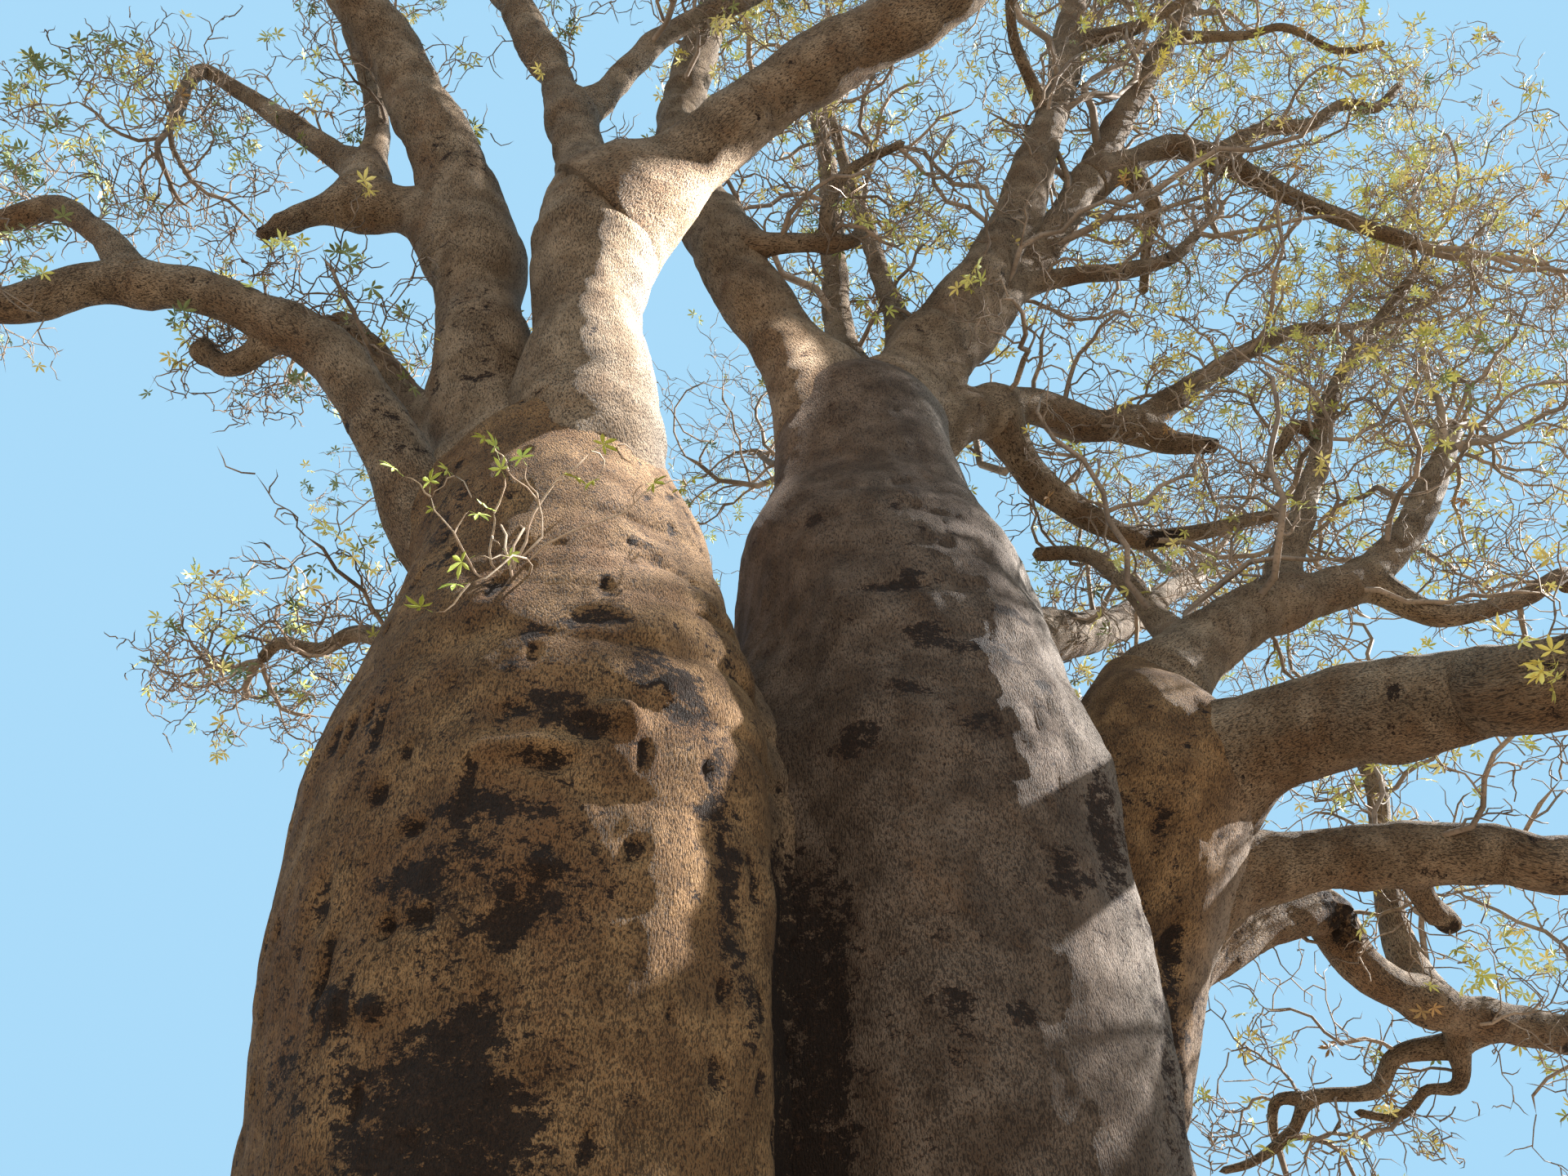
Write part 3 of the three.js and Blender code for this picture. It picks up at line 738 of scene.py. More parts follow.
@dataclass
class Line:
    """A limb's middle line: evenly spaced points, the radius at each, and two sideways axes."""

    points: Array
    radii: Array
    length: float

    # Distances are measured to about this many straight stretches of the line.
    STRETCHES = 60

    def ways(self) -> Array:
        """The direction of the line at each point."""
        return unit(np.gradient(self.points, axis=0))

    def sides(self) -> Tuple[Array, Array]:
        """Two axes square to the line at each point, carried along it without twisting.

        Returns:
            The first axis and the second, one row a point.
        """
        ways = self.ways()
        first = np.empty_like(ways)
        first[0] = across_from(ways[0])
        for i in range(1, len(ways)):
            carried = first[i - 1] - ways[i] * float(first[i - 1] @ ways[i])
            first[i] = carried / np.linalg.norm(carried)
        return first, np.cross(ways, first)

    def at(self, along: float) -> Array:
        """The point at a distance along the line."""
        share = along / self.length * (len(self.points) - 1)
        low = int(min(max(share, 0), len(self.points) - 2))
        return self.points[low] + (self.points[low + 1] - self.points[low]) * (share - low)

    def clearance(self, places: Array) -> Array:
        """How far each place is from the limb's round surface, less than 0 inside it.

        Args:
            places: points, one a row.

        Returns:
            The least distance to a stretch of the line, less the radius there.
        """
        least = np.full(len(places), np.inf)
        step = max(1, len(self.points) // self.STRETCHES)
        knots = list(range(0, len(self.points) - 1, step)) + [len(self.points) - 1]
        for low, high in zip(knots[:-1], knots[1:]):
            start = self.points[low]
            run = self.points[high] - start
            share = np.clip((places - start) @ run / max(float(run @ run), TINY), 0.0, 1.0)
            away = np.linalg.norm(places - start - share[:, None] * run, axis=1)
            radius = self.radii[low] + (self.radii[high] - self.radii[low]) * share
            least = np.minimum(least, away - radius)
        return least


# A curve is worked out at this many places between two knots, and has at least so many steps.
CURVE_PLACES = 60
FEWEST_STEPS = 8


def smooth_run(start: Array, run: Sequence[Row], spacing: float) -> Tuple[Array, float]:
    """A Catmull-Rom curve through a run of stretches, as evenly spaced points.

    Between two knots the curve is the cubic whose slope at each knot is half the step between
    the knots on either side, as in the part's source.

    Args:
        start: the first knot.
        run: stretches of length, heading and rise.
        spacing: distance between the points.

    Returns:
        The points and the curve's length.
    """
    knots = [np.asarray(start, float)]
    for length, heading, rise in run:
        knots.append(knots[-1] + length * direction_of(heading, rise))
    knots = [2 * knots[0] - knots[1]] + knots + [2 * knots[-1] - knots[-2]]
    t = np.linspace(0.0, 1.0, CURVE_PLACES, endpoint=False)[:, None]
    parts = []
    for before, low, high, after in zip(knots, knots[1:], knots[2:], knots[3:]):
        leave = 0.5 * (high - before)
        arrive = 0.5 * (after - low)
        cubic = 2 * low - 2 * high + leave + arrive
        square = -3 * low + 3 * high - 2 * leave - arrive
        parts.append(cubic * t**3 + square * t**2 + leave * t + low)
    dense = np.concatenate(parts + [knots[-2][None, :]])
    steps = np.linalg.norm(np.diff(dense, axis=0), axis=1)
    along = np.concatenate([[0.0], np.cumsum(steps)])
    count = max(FEWEST_STEPS, int(round(along[-1] / spacing))) + 1
    even = np.linspace(0.0, along[-1], count)
    points = np.stack([np.interp(even, along, dense[:, axis]) for axis in range(3)], -1)
    return points, float(along[-1])


# What the skins of stems and limbs share.


def filleted(places: Array, outward: Array, clear: Array, width: float) -> Array:
    """Places moved outward by a fillet towards a neighbour: k/4 times (1 - distance/k) squared.

    Args:
        places: the vertices.
        outward: the way out at each.
        clear: the distance of each from the neighbour.
        width: the width k of the fillet.

    Returns:
        The moved vertices.
    """
    near = np.clip(1.0 - clear / width, 0.0, 1.0)
    return places + outward * (0.25 * width * near**2)[:, None]


def painted_sunlight(outward: Array) -> Array:
    """Painted sunlight: the warmth that bark loses on its sunny side, which paints it paler and greyer
    where the key light falls, as a share of the cosine of its angle to the sun.
    """
    return SUNLIGHT_PAINT_SHARE * np.clip(outward @ unit(np.array(SUNNY_SIDE)), 0.0, 1.0)


def bark_skin(line: Line, places: Array, grain: Array, stain: Array, warmth: Array, ends: Row) -> Surface:
    """A closed skin of rings round a line, with a pole at each end.

    Args:
        line: the middle line, with a ring at each point.
        places: the vertices, ring after ring.
        grain: the place of each in wood that is laid out straight along Z.
        stain: how dark it is there, from 0 to 1.
        warmth: how warm its colour is there, from -1 to 1, with painted sunlight taken off and, on limbs,
            painted bounce light added.
        ends: the poles' stain and warmth, and the grain's Z at the first.

    Returns:
        The surface with its values.
    """
    rings = len(line.points)
    quads, triangles = grid_faces(rings, len(places) // rings)
    pole_stain, pole_warmth, start = ends
    poles = np.array([[0.0, 0.0, start], [0.0, 0.0, start + line.length]])
    return Surface(
        np.concatenate([places, line.points[[0, -1]]]),
        quads,
        triangles,
        np.concatenate([grain, poles]),
        np.concatenate([np.clip(stain, 0.0, 1.0), np.full(2, pole_stain)]),
        np.concatenate([np.clip(warmth, -1.0, 1.0), np.full(2, pole_warmth)]),
    )


# Stems.


@dataclass(frozen=True)
class Mark:
    """A lump or hollow on a stem, and the dark or warm patch round it.

    Height and azimuth place it, wide and tall are its half sizes, and out is how far it stands
    out of the stem, less than 0 for a hollow. Stain and warmth are from 0 to 1.
    """

    height: float
    azimuth: float
    wide: float
    tall: float
    out: float = 0.0
    stain: float = 0.0
    warmth: float = 0.0

    RAGGED = Lumps(0.3, 0.16, 83, 2)

    def share(self, height: Array, around: Array, radius: Array, places: Array) -> Array:
        """How much of the mark each vertex has: a bell over its half sizes, with a ragged edge.

        Args:
            height: height of each vertex.
            around: angle of each vertex.
            radius: radius of each vertex.
            places: the vertices.

        Returns:
            A share from 0 to 1.
        """
        across = np.radians(degrees_from(around, self.azimuth)) * radius / self.wide
        up = (height - self.height) / self.tall
        ragged = 1.0 + self.RAGGED.at(places)
        return np.exp(-((across**2 + up**2) * ragged) ** 1.5)


@dataclass(frozen=True)
class Folds:
    """Wrinkles across a stem: where they are, how far apart, and how deep."""

    low: float
    high: float
    azimuth: float
    spread: float
    spacing: float
    depth: float

    FADE = 0.25
    SHARPNESS = 0.6
    MIDDLE = 0.6
    EVEN = 0.7
    UNEVEN = Lumps(0.4, 0.4, 71, 1)
    WAVES = Lumps(0.07, 0.5, 61, 1)
    RIPPLES = Lumps(0.02, 0.14, 67, 1)

    def rolls(self, height: Array, around: Array, places: Array) -> Array:
        """Rolls between sharp creases: a power of a sine of height, faded at their edges.

        Args:
            height: height of each vertex.
            around: angle of each vertex.
            places: the vertices.

        Returns:
            How far each vertex stands out.
        """
        side = bell(degrees_from(around, self.azimuth), self.spread)
        level = smooth_step(height, self.low, self.low + self.FADE)
        level = level * (1.0 - smooth_step(height, self.high - self.FADE, self.high))
        wavy = height + self.WAVES.at(places) + self.RIPPLES.at(places)
        wave = np.abs(np.sin(math.pi * wavy / self.spacing)) ** self.SHARPNESS
        uneven = self.EVEN + self.UNEVEN.at(places)
        return self.depth * side * level * uneven * (wave - self.MIDDLE)


@dataclass
class Stem:
    """One bottle-shaped stem, from the flat cut at ground level to where its boughs take over.

    A row is a height, the radius there, and the middle's X and Y. Pitting scales the pits.
    """

    name: str
    lobes: int
    lobe_depth: float
    rows: List[Tuple[float, float, float, float]]
    rings: int
    sides: int
    warmth: float
    pitting: float
    marks: List[Mark] = field(default_factory=list)
    folds: List[Folds] = field(default_factory=list)
    line: Line = field(init=False)

    FLARE_HEIGHT = 0.7

    # Rows are evened over this height, and the top is a dome that starts so many times lower.
    EVENED = 0.34
    DOME = 0.16
    DOME_REACH = 2.5
    LEAST_RADIUS = 0.05

    # Lumps fade where the stem is thinner than this, and all but the broad ones are stretched up.
    FULL_RADIUS = 0.5
    STRETCH = (1.0, 1.0, 0.55)
    BROAD = Lumps(0.035, 0.85, 11)
    SMALL = Lumps(0.012, 0.2, 23)
    FINE = Lumps(0.0045, 0.075, 31, 2)

    PITS = Patches(0.075, 47, 0.55, 0.85)
    PIT_DEPTH = 0.02
    PIT_STAIN = 0.75
    DARK_PATCHES = Patches(0.5, 59, 0.3, 0.9)
    PATCH_STAIN = 0.45

    # The cleft towards another stem, and the dark band painted in it, painted shade partly with a dark
    # stain, which fades between two heights.
    CLEFT_WIDTH = 0.24
    CLEFT_DEPTH = 0.13
    CLEFT_PAINTED_SHADE = 1.1
    CLEFT_SHADE_WIDTH = 0.15
    CLEFT_SHADE_TOP = (3.3, 4.1)

    def __post_init__(self) -> None:
        """Works out the middle line and the radius by height."""
        rows = np.array(self.rows)
        heights = np.linspace(0.0, rows[-1, 0] + self.DOME, self.rings)
        columns = np.stack([np.interp(heights, rows[:, 0], rows[:, i]) for i in (1, 2, 3)], -1)
        reach = max(1, int(self.EVENED / 2 / (heights[1] - heights[0])))
        kernel = np.hanning(2 * reach + 3)[1:-1]
        kernel /= kernel.sum()
        padded = np.pad(columns, ((reach, reach), (0, 0)), "reflect", reflect_type="odd")
        evened = np.stack([np.convolve(padded[:, i], kernel, "valid") for i in range(3)], -1)
        below_top = rows[-1, 0] + self.DOME - heights
        dome = rounded(np.clip(below_top / (self.DOME_REACH * self.DOME), 0.0, 1.0))
        radii = np.maximum(evened[:, 0], self.LEAST_RADIUS) * dome
        points = np.column_stack([evened[:, 1], evened[:, 2], heights])
        self.line = Line(points, radii, float(heights[-1]))

    def at(self, height: float) -> Array:
        """The middle of the stem at a height, on the straight lines between its rows."""
        rows = np.array(self.rows)
        x = np.interp(height, rows[:, 0], rows[:, 2])
        y = np.interp(height, rows[:, 0], rows[:, 3])
        return np.array([x, y, height])

    def surface(self, neighbours: Sequence[Tuple[Line, float]]) -> Surface:
        """The stem's skin on a grid of height and angle.

        The radius is the evened row radius, times 1 plus the root lobes, which die away as exp(-height /
        0.7), plus lumps of noise, folds and marks, plus the fillet towards each limb. Towards another
        stem it is less by a cleft, exp(-(distance / width)^2), with painted shade, partly a dark stain,
        in its low part.

        Args:
            neighbours: lines of what meets the stem: a limb with the width of its fillet, and
                another stem with 0.

        Returns:
            The closed surface with its grain, stain and warmth.
        """
        angle = np.linspace(0.0, 2.0 * math.pi, self.sides, endpoint=False)
        heights = self.line.points[:, 2]
        height, around = (grid.ravel() for grid in np.meshgrid(heights, angle, indexing="ij"))
        radius = np.repeat(self.line.radii, self.sides)
        middle = np.repeat(self.line.points, self.sides, axis=0)
        outward = np.stack([np.cos(around), np.sin(around), np.zeros_like(around)], -1)
        lobe = self.lobe_depth * np.exp(-height / self.FLARE_HEIGHT) * np.cos(self.lobes * around)
        radius = radius * (1.0 + lobe)
        places = middle + outward * radius[:, None]
        tall = places * np.array(self.STRETCH)
        fade = np.clip(radius / self.FULL_RADIUS, 0.0, 1.0)
        pits = self.pitting * self.PITS.at(tall)
        lumps = self.BROAD.at(places) + self.SMALL.at(tall) + self.FINE.at(tall) - self.PIT_DEPTH * pits
        patches = self.PATCH_STAIN * self.pitting * self.DARK_PATCHES.at(places)
        stain = self.PIT_STAIN * pits + patches
        warmth = np.full(len(places), self.warmth)
        for fold in self.folds:
            lumps += fold.rolls(height, around, places)
        for mark in self.marks:
            share = mark.share(height, around, radius, places)
            lumps += mark.out * share
            stain += mark.stain * share
            warmth += mark.warmth * share
        radius = radius + fade * lumps
        places = middle + outward * radius[:, None]
        for line, width in neighbours:
            clear = line.clearance(places)
            if width:
                places = filleted(places, outward, clear, width)
                continue
            places = places - outward * (self.CLEFT_DEPTH * bell(clear, self.CLEFT_WIDTH))[:, None]
            # Painted shade in the cleft between stems: a dark band, partly a dark stain, that fades out
            # higher up.
            low = 1.0 - smooth_step(height, *self.CLEFT_SHADE_TOP)
            stain += self.CLEFT_PAINTED_SHADE * low * bell(np.maximum(clear, 0.0), self.CLEFT_SHADE_WIDTH)
        places[:, 2] = np.where(height < TINY, 0.0, places[:, 2])
        # Painted sunlight: the side that the key light falls on is painted paler and greyer.
        warmth -= painted_sunlight(outward)
        grain = np.column_stack([radius * np.cos(around), radius * np.sin(around), height])
        return bark_skin(self.line, places, grain, stain, warmth, (0.0, 0.0, 0.0))


# Limbs.


@dataclass(frozen=True)
class Scar:
    """A hollow with torn dark wood: its distance along a limb, half length, and the way it faces."""

    along: float
    reach: float
    facing: Row

    # The cosines of the angle to its facing where it starts and where it is full.
    EDGE = (0.3, 0.7)
    DEPTH = 0.04
    STRIPS = Lumps(0.05, 0.7, 97)
    STRIPS_ACROSS = 9.0
    STAIN = 1.2
    WARMTH = 0.7

    def share(self, distance: Array, outward: Array) -> Array:
        """How much of the scar each vertex has: a flat bell along the limb, on its own side."""
        facing = outward @ unit(np.array(self.facing))
        return bell(distance - self.along, self.reach, 4) * smooth_step(facing, *self.EDGE)

    def relief(self, distance: Array, outward: Array) -> Array:
        """How far each vertex stands out: strips along the limb, below its surface."""
        across = self.STRIPS_ACROSS * outward[:, :2].sum(axis=1)
        up = self.STRIPS_ACROSS * outward[:, 2]
        return self.STRIPS.at(np.column_stack([across, up, distance])) - self.DEPTH


@dataclass
class Limb:
    """One tapering limb: its parent, where it leaves, its radii and its run of stretches.

    Foliage is the reach of the mass at its tip, and spurs is how many twigs a metre grow along it.
    """

    name: str
    parent: str
    at: float
    radii: Tuple[float, float]
    run: List[Row]
    foliage: float = 0.0
    spurs: float = 1.0
    warmth: float = 0.35
    torn: bool = False
    scars: Tuple[Scar, ...] = ()
    line: Optional[Line] = None

    # The spacing of its vertices, and the fewest and most of them in a ring.
    SPACING = 0.036
    SIDES = (10, 52)

    SWELL = 0.3
    COLLAR = 0.9

    # How its radius and its line wander: the height and size of each noise, the stretch where the
    # line starts to, and the most that it may, as a share of the radius and in metres.
    BULGES = (0.09, 0.7)
    SMALL_BULGES = (0.05, 0.23)
    WANDER_SIZE = 1.1
    WANDER_SEEDS = (11, 13, 17)
    WANDER_STARTS = (0.1, 0.8)
    MOST_WANDER = (0.35, 0.035)

    # The rounding of its ends.
    LEAST_TIP = 0.03
    OPENING = 0.05
    LEAST_SHARE = 0.02

    # Lumps are lower on limbs thinner than the full radius, but never less than a share.
    FULL_RADIUS = 0.2
    LEAST_LUMPS = 0.15
    LEAST_RADIUS = 0.3
    BROAD = Lumps(0.016, 0.4, 13)
    SMALL = Lumps(0.006, 0.11, 29, 2)

    PITS = Patches(0.1, 53, 0.6, 0.85)
    PIT_DEPTH = 0.01
    PIT_STAIN = 0.5
    DARK_PATCHES = Patches(0.5, 59, 0.35, 0.85)
    PATCH_STAIN = 0.35

    TEAR_LENGTH = 0.45
    TEAR = Lumps(0.09, 0.16, 91)
    TEAR_STAIN = 0.5

    # Painted bounce light: bark is painted warmer below, by how much its way out points down, for the
    # warm light thrown up from the floor.
    PAINTED_BOUNCE = 0.25
    BELOW = (0.1, 0.9)

    # Each limb's grain starts at one of so many places along Z, so that no two look alike.
    GRAIN_STEP = 7.0
    GRAIN_STARTS = 13
    POLE_STAIN = 0.5
    POLE_WARMTH = 0.3

    def _number(self) -> int:
        """The sum of the name's characters, which picks its noise and its grain."""
        return sum(map(ord, self.name))

    def lay(self, start: Array) -> None:
        """Works out the middle line from where the limb leaves its parent.

        The radius runs straight from foot to tip, times 1 plus 0.3 at the foot's collar, which
        fades out over 0.9 m. The line and the radius wander a little, as grown wood does.

        Args:
            start: the point on the parent's middle line.
        """
        points, length = smooth_run(start, self.run, self.SPACING)
        along = np.linspace(0.0, length, len(points))
        foot, tip = self.radii
        radii = foot + (tip - foot) * along / length
        radii = radii * (1.0 + self.SWELL * (1.0 - smooth_step(along, 0.0, self.COLLAR)))
        seed = 100 + self._number()
        row = np.column_stack([along, np.zeros_like(along), np.zeros_like(along)])
        bulges = Lumps(*self.BULGES, seed).at(row)
        radii = radii * (1.0 + bulges + Lumps(*self.SMALL_BULGES, seed + 5, 1).at(row))
        wander = np.stack([rough(row, self.WANDER_SIZE, seed + k) for k in self.WANDER_SEEDS], -1)
        fade = smooth_step(along, *self.WANDER_STARTS)[:, None]
        share, most = self.MOST_WANDER
        points = points + wander * fade * np.minimum(share * radii, most)[:, None]
        self.line = Line(points, radii, length)

    def surface(self, neighbours: Sequence[Tuple[Line, float]]) -> Surface:
        """The limb's skin on a grid of distance along it and angle round it.

        The radius is the line's, with lumps of noise, rounded off at both ends as a circle is,
        plus the fillet towards each neighbour. A torn tip and scars add their own lumps.

        Args:
            neighbours: lines of the limbs that meet it, each with the width of its fillet.

        Returns:
            The closed surface with its grain, stain and warmth.
        """
        line = self.line
        rings = len(line.points)
        sides = int(np.clip(round(2.0 * math.pi * self.radii[0] / self.SPACING), *self.SIDES))
        first, second = line.sides()
        angle = np.linspace(0.0, 2.0 * math.pi, sides, endpoint=False)
        along = np.linspace(0.0, line.length, rings)
        closing = np.clip((line.length - along) / np.maximum(line.radii, self.LEAST_TIP), 0.0, 1.0)
        shape = rounded(closing) * rounded(np.clip(along / self.OPENING, 0.0, 1.0))
        radius = np.repeat(line.radii * np.maximum(shape, self.LEAST_SHARE), sides)
        around = np.tile(angle, rings)
        distance = np.repeat(along, sides)
        middle = np.repeat(line.points, sides, axis=0)
        outward = np.repeat(first, sides, axis=0) * np.cos(around)[:, None]
        outward = outward + np.repeat(second, sides, axis=0) * np.sin(around)[:, None]
        places = middle + outward * radius[:, None]
        scale = np.clip(radius / self.FULL_RADIUS, self.LEAST_LUMPS, 1.0)
        pits = self.PITS.at(places)
        lumps = self.BROAD.at(places) + self.SMALL.at(places) - self.PIT_DEPTH * pits
        stain = self.PIT_STAIN * pits + self.PATCH_STAIN * self.DARK_PATCHES.at(places)
        if self.torn:
            tear = smooth_step(distance, line.length - self.TEAR_LENGTH, line.length)
            lumps += tear * self.TEAR.at(places)
            stain += self.TEAR_STAIN * tear
        # Painted bounce light: undersides are painted a warmer tan.
        warmth = self.warmth + self.PAINTED_BOUNCE * smooth_step(-outward[:, 2], *self.BELOW)
        for scar in self.scars:
            share = scar.share(distance, outward)
            lumps += share * scar.relief(distance, outward)
            stain += scar.STAIN * share
            warmth += scar.WARMTH * share
        radius = np.maximum(radius + scale * lumps, self.LEAST_RADIUS * radius)
        places = middle + outward * radius[:, None]
        for other, width in neighbours:
            places = filleted(places, outward, other.clearance(places), width)
        # Painted sunlight: the side that the key light falls on is painted paler and greyer.
        warmth -= painted_sunlight(outward)
        start = self.GRAIN_STEP * (self._number() % self.GRAIN_STARTS)
        grain = np.column_stack([radius * np.cos(around), radius * np.sin(around), distance + start])
        return bark_skin(line, places, grain, stain, warmth, (self.POLE_STAIN, self.POLE_WARMTH, start))


STEMS = [
    Stem(
        "left_stem", 9, 0.07,
        [
            (0, 1.42, -0.55, -0.28), (0.3, 1.24, -0.6, -0.29), (0.9, 1.09, -0.66, -0.3),
            (1.8, 1.05, -0.74, -0.3), (2.6, 1.08, -0.79, -0.3), (3.4, 1.14, -0.81, -0.3),
            (4.05, 1.12, -0.82, -0.3), (4.7, 0.99, -0.84, -0.3), (5.35, 0.79, -0.92, -0.3),
            (5.85, 0.63, -1.06, -0.3), (6.2, 0.52, -1.12, -0.3), (6.45, 0.28, -1.14, -0.3),
        ],
        rings=300, sides=310, warmth=0.5, pitting=1.0,
        marks=[
            Mark(3.95, -72, 0.085, 0.065, out=0.1, warmth=0.1),
            Mark(3.9, -77, 0.1, 0.07, out=-0.04, stain=0.85),
            Mark(3.74, -85, 0.11, 0.045, out=-0.05, stain=0.8, warmth=0.3),
            Mark(3.79, -88, 0.2, 0.05, out=0.03),
            Mark(3.97, -85, 0.12, 0.09, stain=0.95),
            Mark(4.45, -78, 0.15, 0.055, out=-0.02, stain=0.95),
            Mark(4.33, -90, 0.065, 0.045, stain=0.9),
            Mark(4.18, -93, 0.06, 0.06, stain=0.6, warmth=0.4),
            Mark(4.2, -65, 0.11, 0.13, stain=0.7),
            Mark(4.05, -58, 0.09, 0.16, stain=0.6),
            Mark(3.55, -94, 0.24, 0.05, stain=0.65, warmth=0.5),
            Mark(3.5, -108, 0.055, 0.035, out=-0.04, stain=0.95),
            Mark(3.33, -83, 0.06, 0.04, out=0.035, stain=0.7),
            Mark(3.3, -108, 0.13, 0.06, stain=0.75, warmth=0.4),
            Mark(3.15, -111, 0.045, 0.035, out=-0.03, stain=0.9, warmth=0.5),
            Mark(3.15, -104, 0.06, 0.035, out=-0.03, stain=0.9),
            Mark(3.12, -88, 0.075, 0.11, out=-0.035, stain=1.0),
            Mark(3.2, -80, 0.14, 0.1, stain=0.35, warmth=0.6),
            Mark(3.02, -124, 0.018, 0.15, out=-0.03, stain=0.9),
            Mark(2.9, -118, 0.14, 0.07, out=0.03, stain=0.55),
            Mark(2.87, -111, 0.04, 0.05, out=0.035, stain=0.85),
            Mark(2.5, -99, 0.33, 0.3, stain=1.0),
            Mark(2.2, -92, 0.3, 0.3, stain=0.9),
            Mark(2.75, -92, 0.12, 0.12, stain=0.6),
            Mark(3.3, -93, 0.45, 0.22, stain=0.25, warmth=0.5),
            Mark(3.3, -47, 0.07, 0.35, stain=0.7),
            Mark(3.05, -42, 0.06, 0.2, stain=0.65),
            Mark(3.75, -52, 0.1, 0.3, stain=0.5),
            Mark(4.55, -103, 0.17, 0.13, out=0.04, stain=0.25, warmth=0.8),
            Mark(3.3, -128, 0.05, 0.12, out=-0.03, stain=0.6),
            Mark(2.8, -130, 0.3, 0.3, stain=0.4, warmth=0.3),
            Mark(3.9, -122, 0.12, 0.3, stain=0.4, warmth=0.4),
        ],
        folds=[
            Folds(3.85, 5.45, -40, 42, 0.31, 0.055),
            Folds(3.0, 4.3, -60, 50, 0.4, 0.03),
            Folds(3.9, 5.0, -100, 60, 0.24, 0.014),
        ],
    ),
    Stem(
        "right_stem", 8, 0.06,
        [
            (0, 1.34, 0.9, 0.3), (0.3, 1.2, 0.88, 0.3), (0.9, 1.08, 0.86, 0.3),
            (1.8, 1.05, 0.83, 0.3), (3.0, 1.1, 0.79, 0.3), (4.35, 1.11, 0.74, 0.3),
            (5.1, 0.99, 0.72, 0.3), (5.85, 0.83, 0.69, 0.3), (6.35, 0.63, 0.67, 0.3),
            (6.9, 0.49, 0.65, 0.3), (7.3, 0.42, 0.64, 0.3), (7.55, 0.22, 0.64, 0.3),
        ],
        rings=315, sides=280, warmth=0.15, pitting=0.35,
        marks=[
            Mark(5.12, -94, 0.19, 0.05, out=-0.01, stain=0.95),
            Mark(5.2, -87, 0.09, 0.05, stain=0.8),
            Mark(4.8, -86, 0.11, 0.1, stain=0.95),
            Mark(4.74, -70, 0.2, 0.07, stain=0.9),
            Mark(4.47, -92, 0.11, 0.05, stain=0.8),
            Mark(4.25, -106, 0.14, 0.1, stain=0.95),
            Mark(4.3, -76, 0.11, 0.09, stain=0.9),
            Mark(4.6, -56, 0.08, 0.05, stain=0.7),
            Mark(5.02, -58, 0.16, 0.04, stain=0.7),
            Mark(3.65, -60, 0.1, 0.13, stain=0.8),
            Mark(3.05, -90, 0.1, 0.1, stain=0.8),
            Mark(3.05, -77, 0.07, 0.06, stain=0.7),
            Mark(5.75, -88, 0.06, 0.04, stain=0.7),
            Mark(5.72, -116, 0.07, 0.05, stain=0.8),
            Mark(3.9, -44, 0.1, 0.3, out=-0.03, stain=0.8),
            Mark(2.8, -30, 0.3, 1.1, out=-0.01, stain=0.5),
            Mark(5.85, -80, 0.12, 0.08, out=0.025, stain=0.3),
        ],
        folds=[Folds(4.3, 6.2, -70, 75, 0.3, 0.018)],
    ),
    Stem(
        "side_stem", 5, 0.08,
        [
            (0, 0.85, 1.6, 0.66), (0.3, 0.72, 1.52, 0.65), (0.9, 0.62, 1.42, 0.63),
            (1.8, 0.58, 1.36, 0.61), (2.8, 0.56, 1.42, 0.6), (3.7, 0.56, 1.66, 0.6),
            (4.5, 0.58, 1.93, 0.6), (4.95, 0.54, 2.05, 0.6), (5.25, 0.4, 2.1, 0.6),
            (5.4, 0.2, 2.12, 0.6),
        ],
        rings=230, sides=160, warmth=0.3, pitting=0.5,
        marks=[
            Mark(3.7, -55, 0.06, 0.1, out=-0.05, stain=0.9),
            Mark(4.4, -120, 0.22, 0.4, out=0.03, stain=0.45),
            Mark(3.4, -100, 0.2, 0.8, out=-0.015, stain=0.5),
            Mark(4.25, -75, 0.06, 0.12, out=-0.03, stain=0.7),
        ],
        folds=[Folds(3.9, 5.1, -90, 60, 0.22, 0.016)],
    ),
]

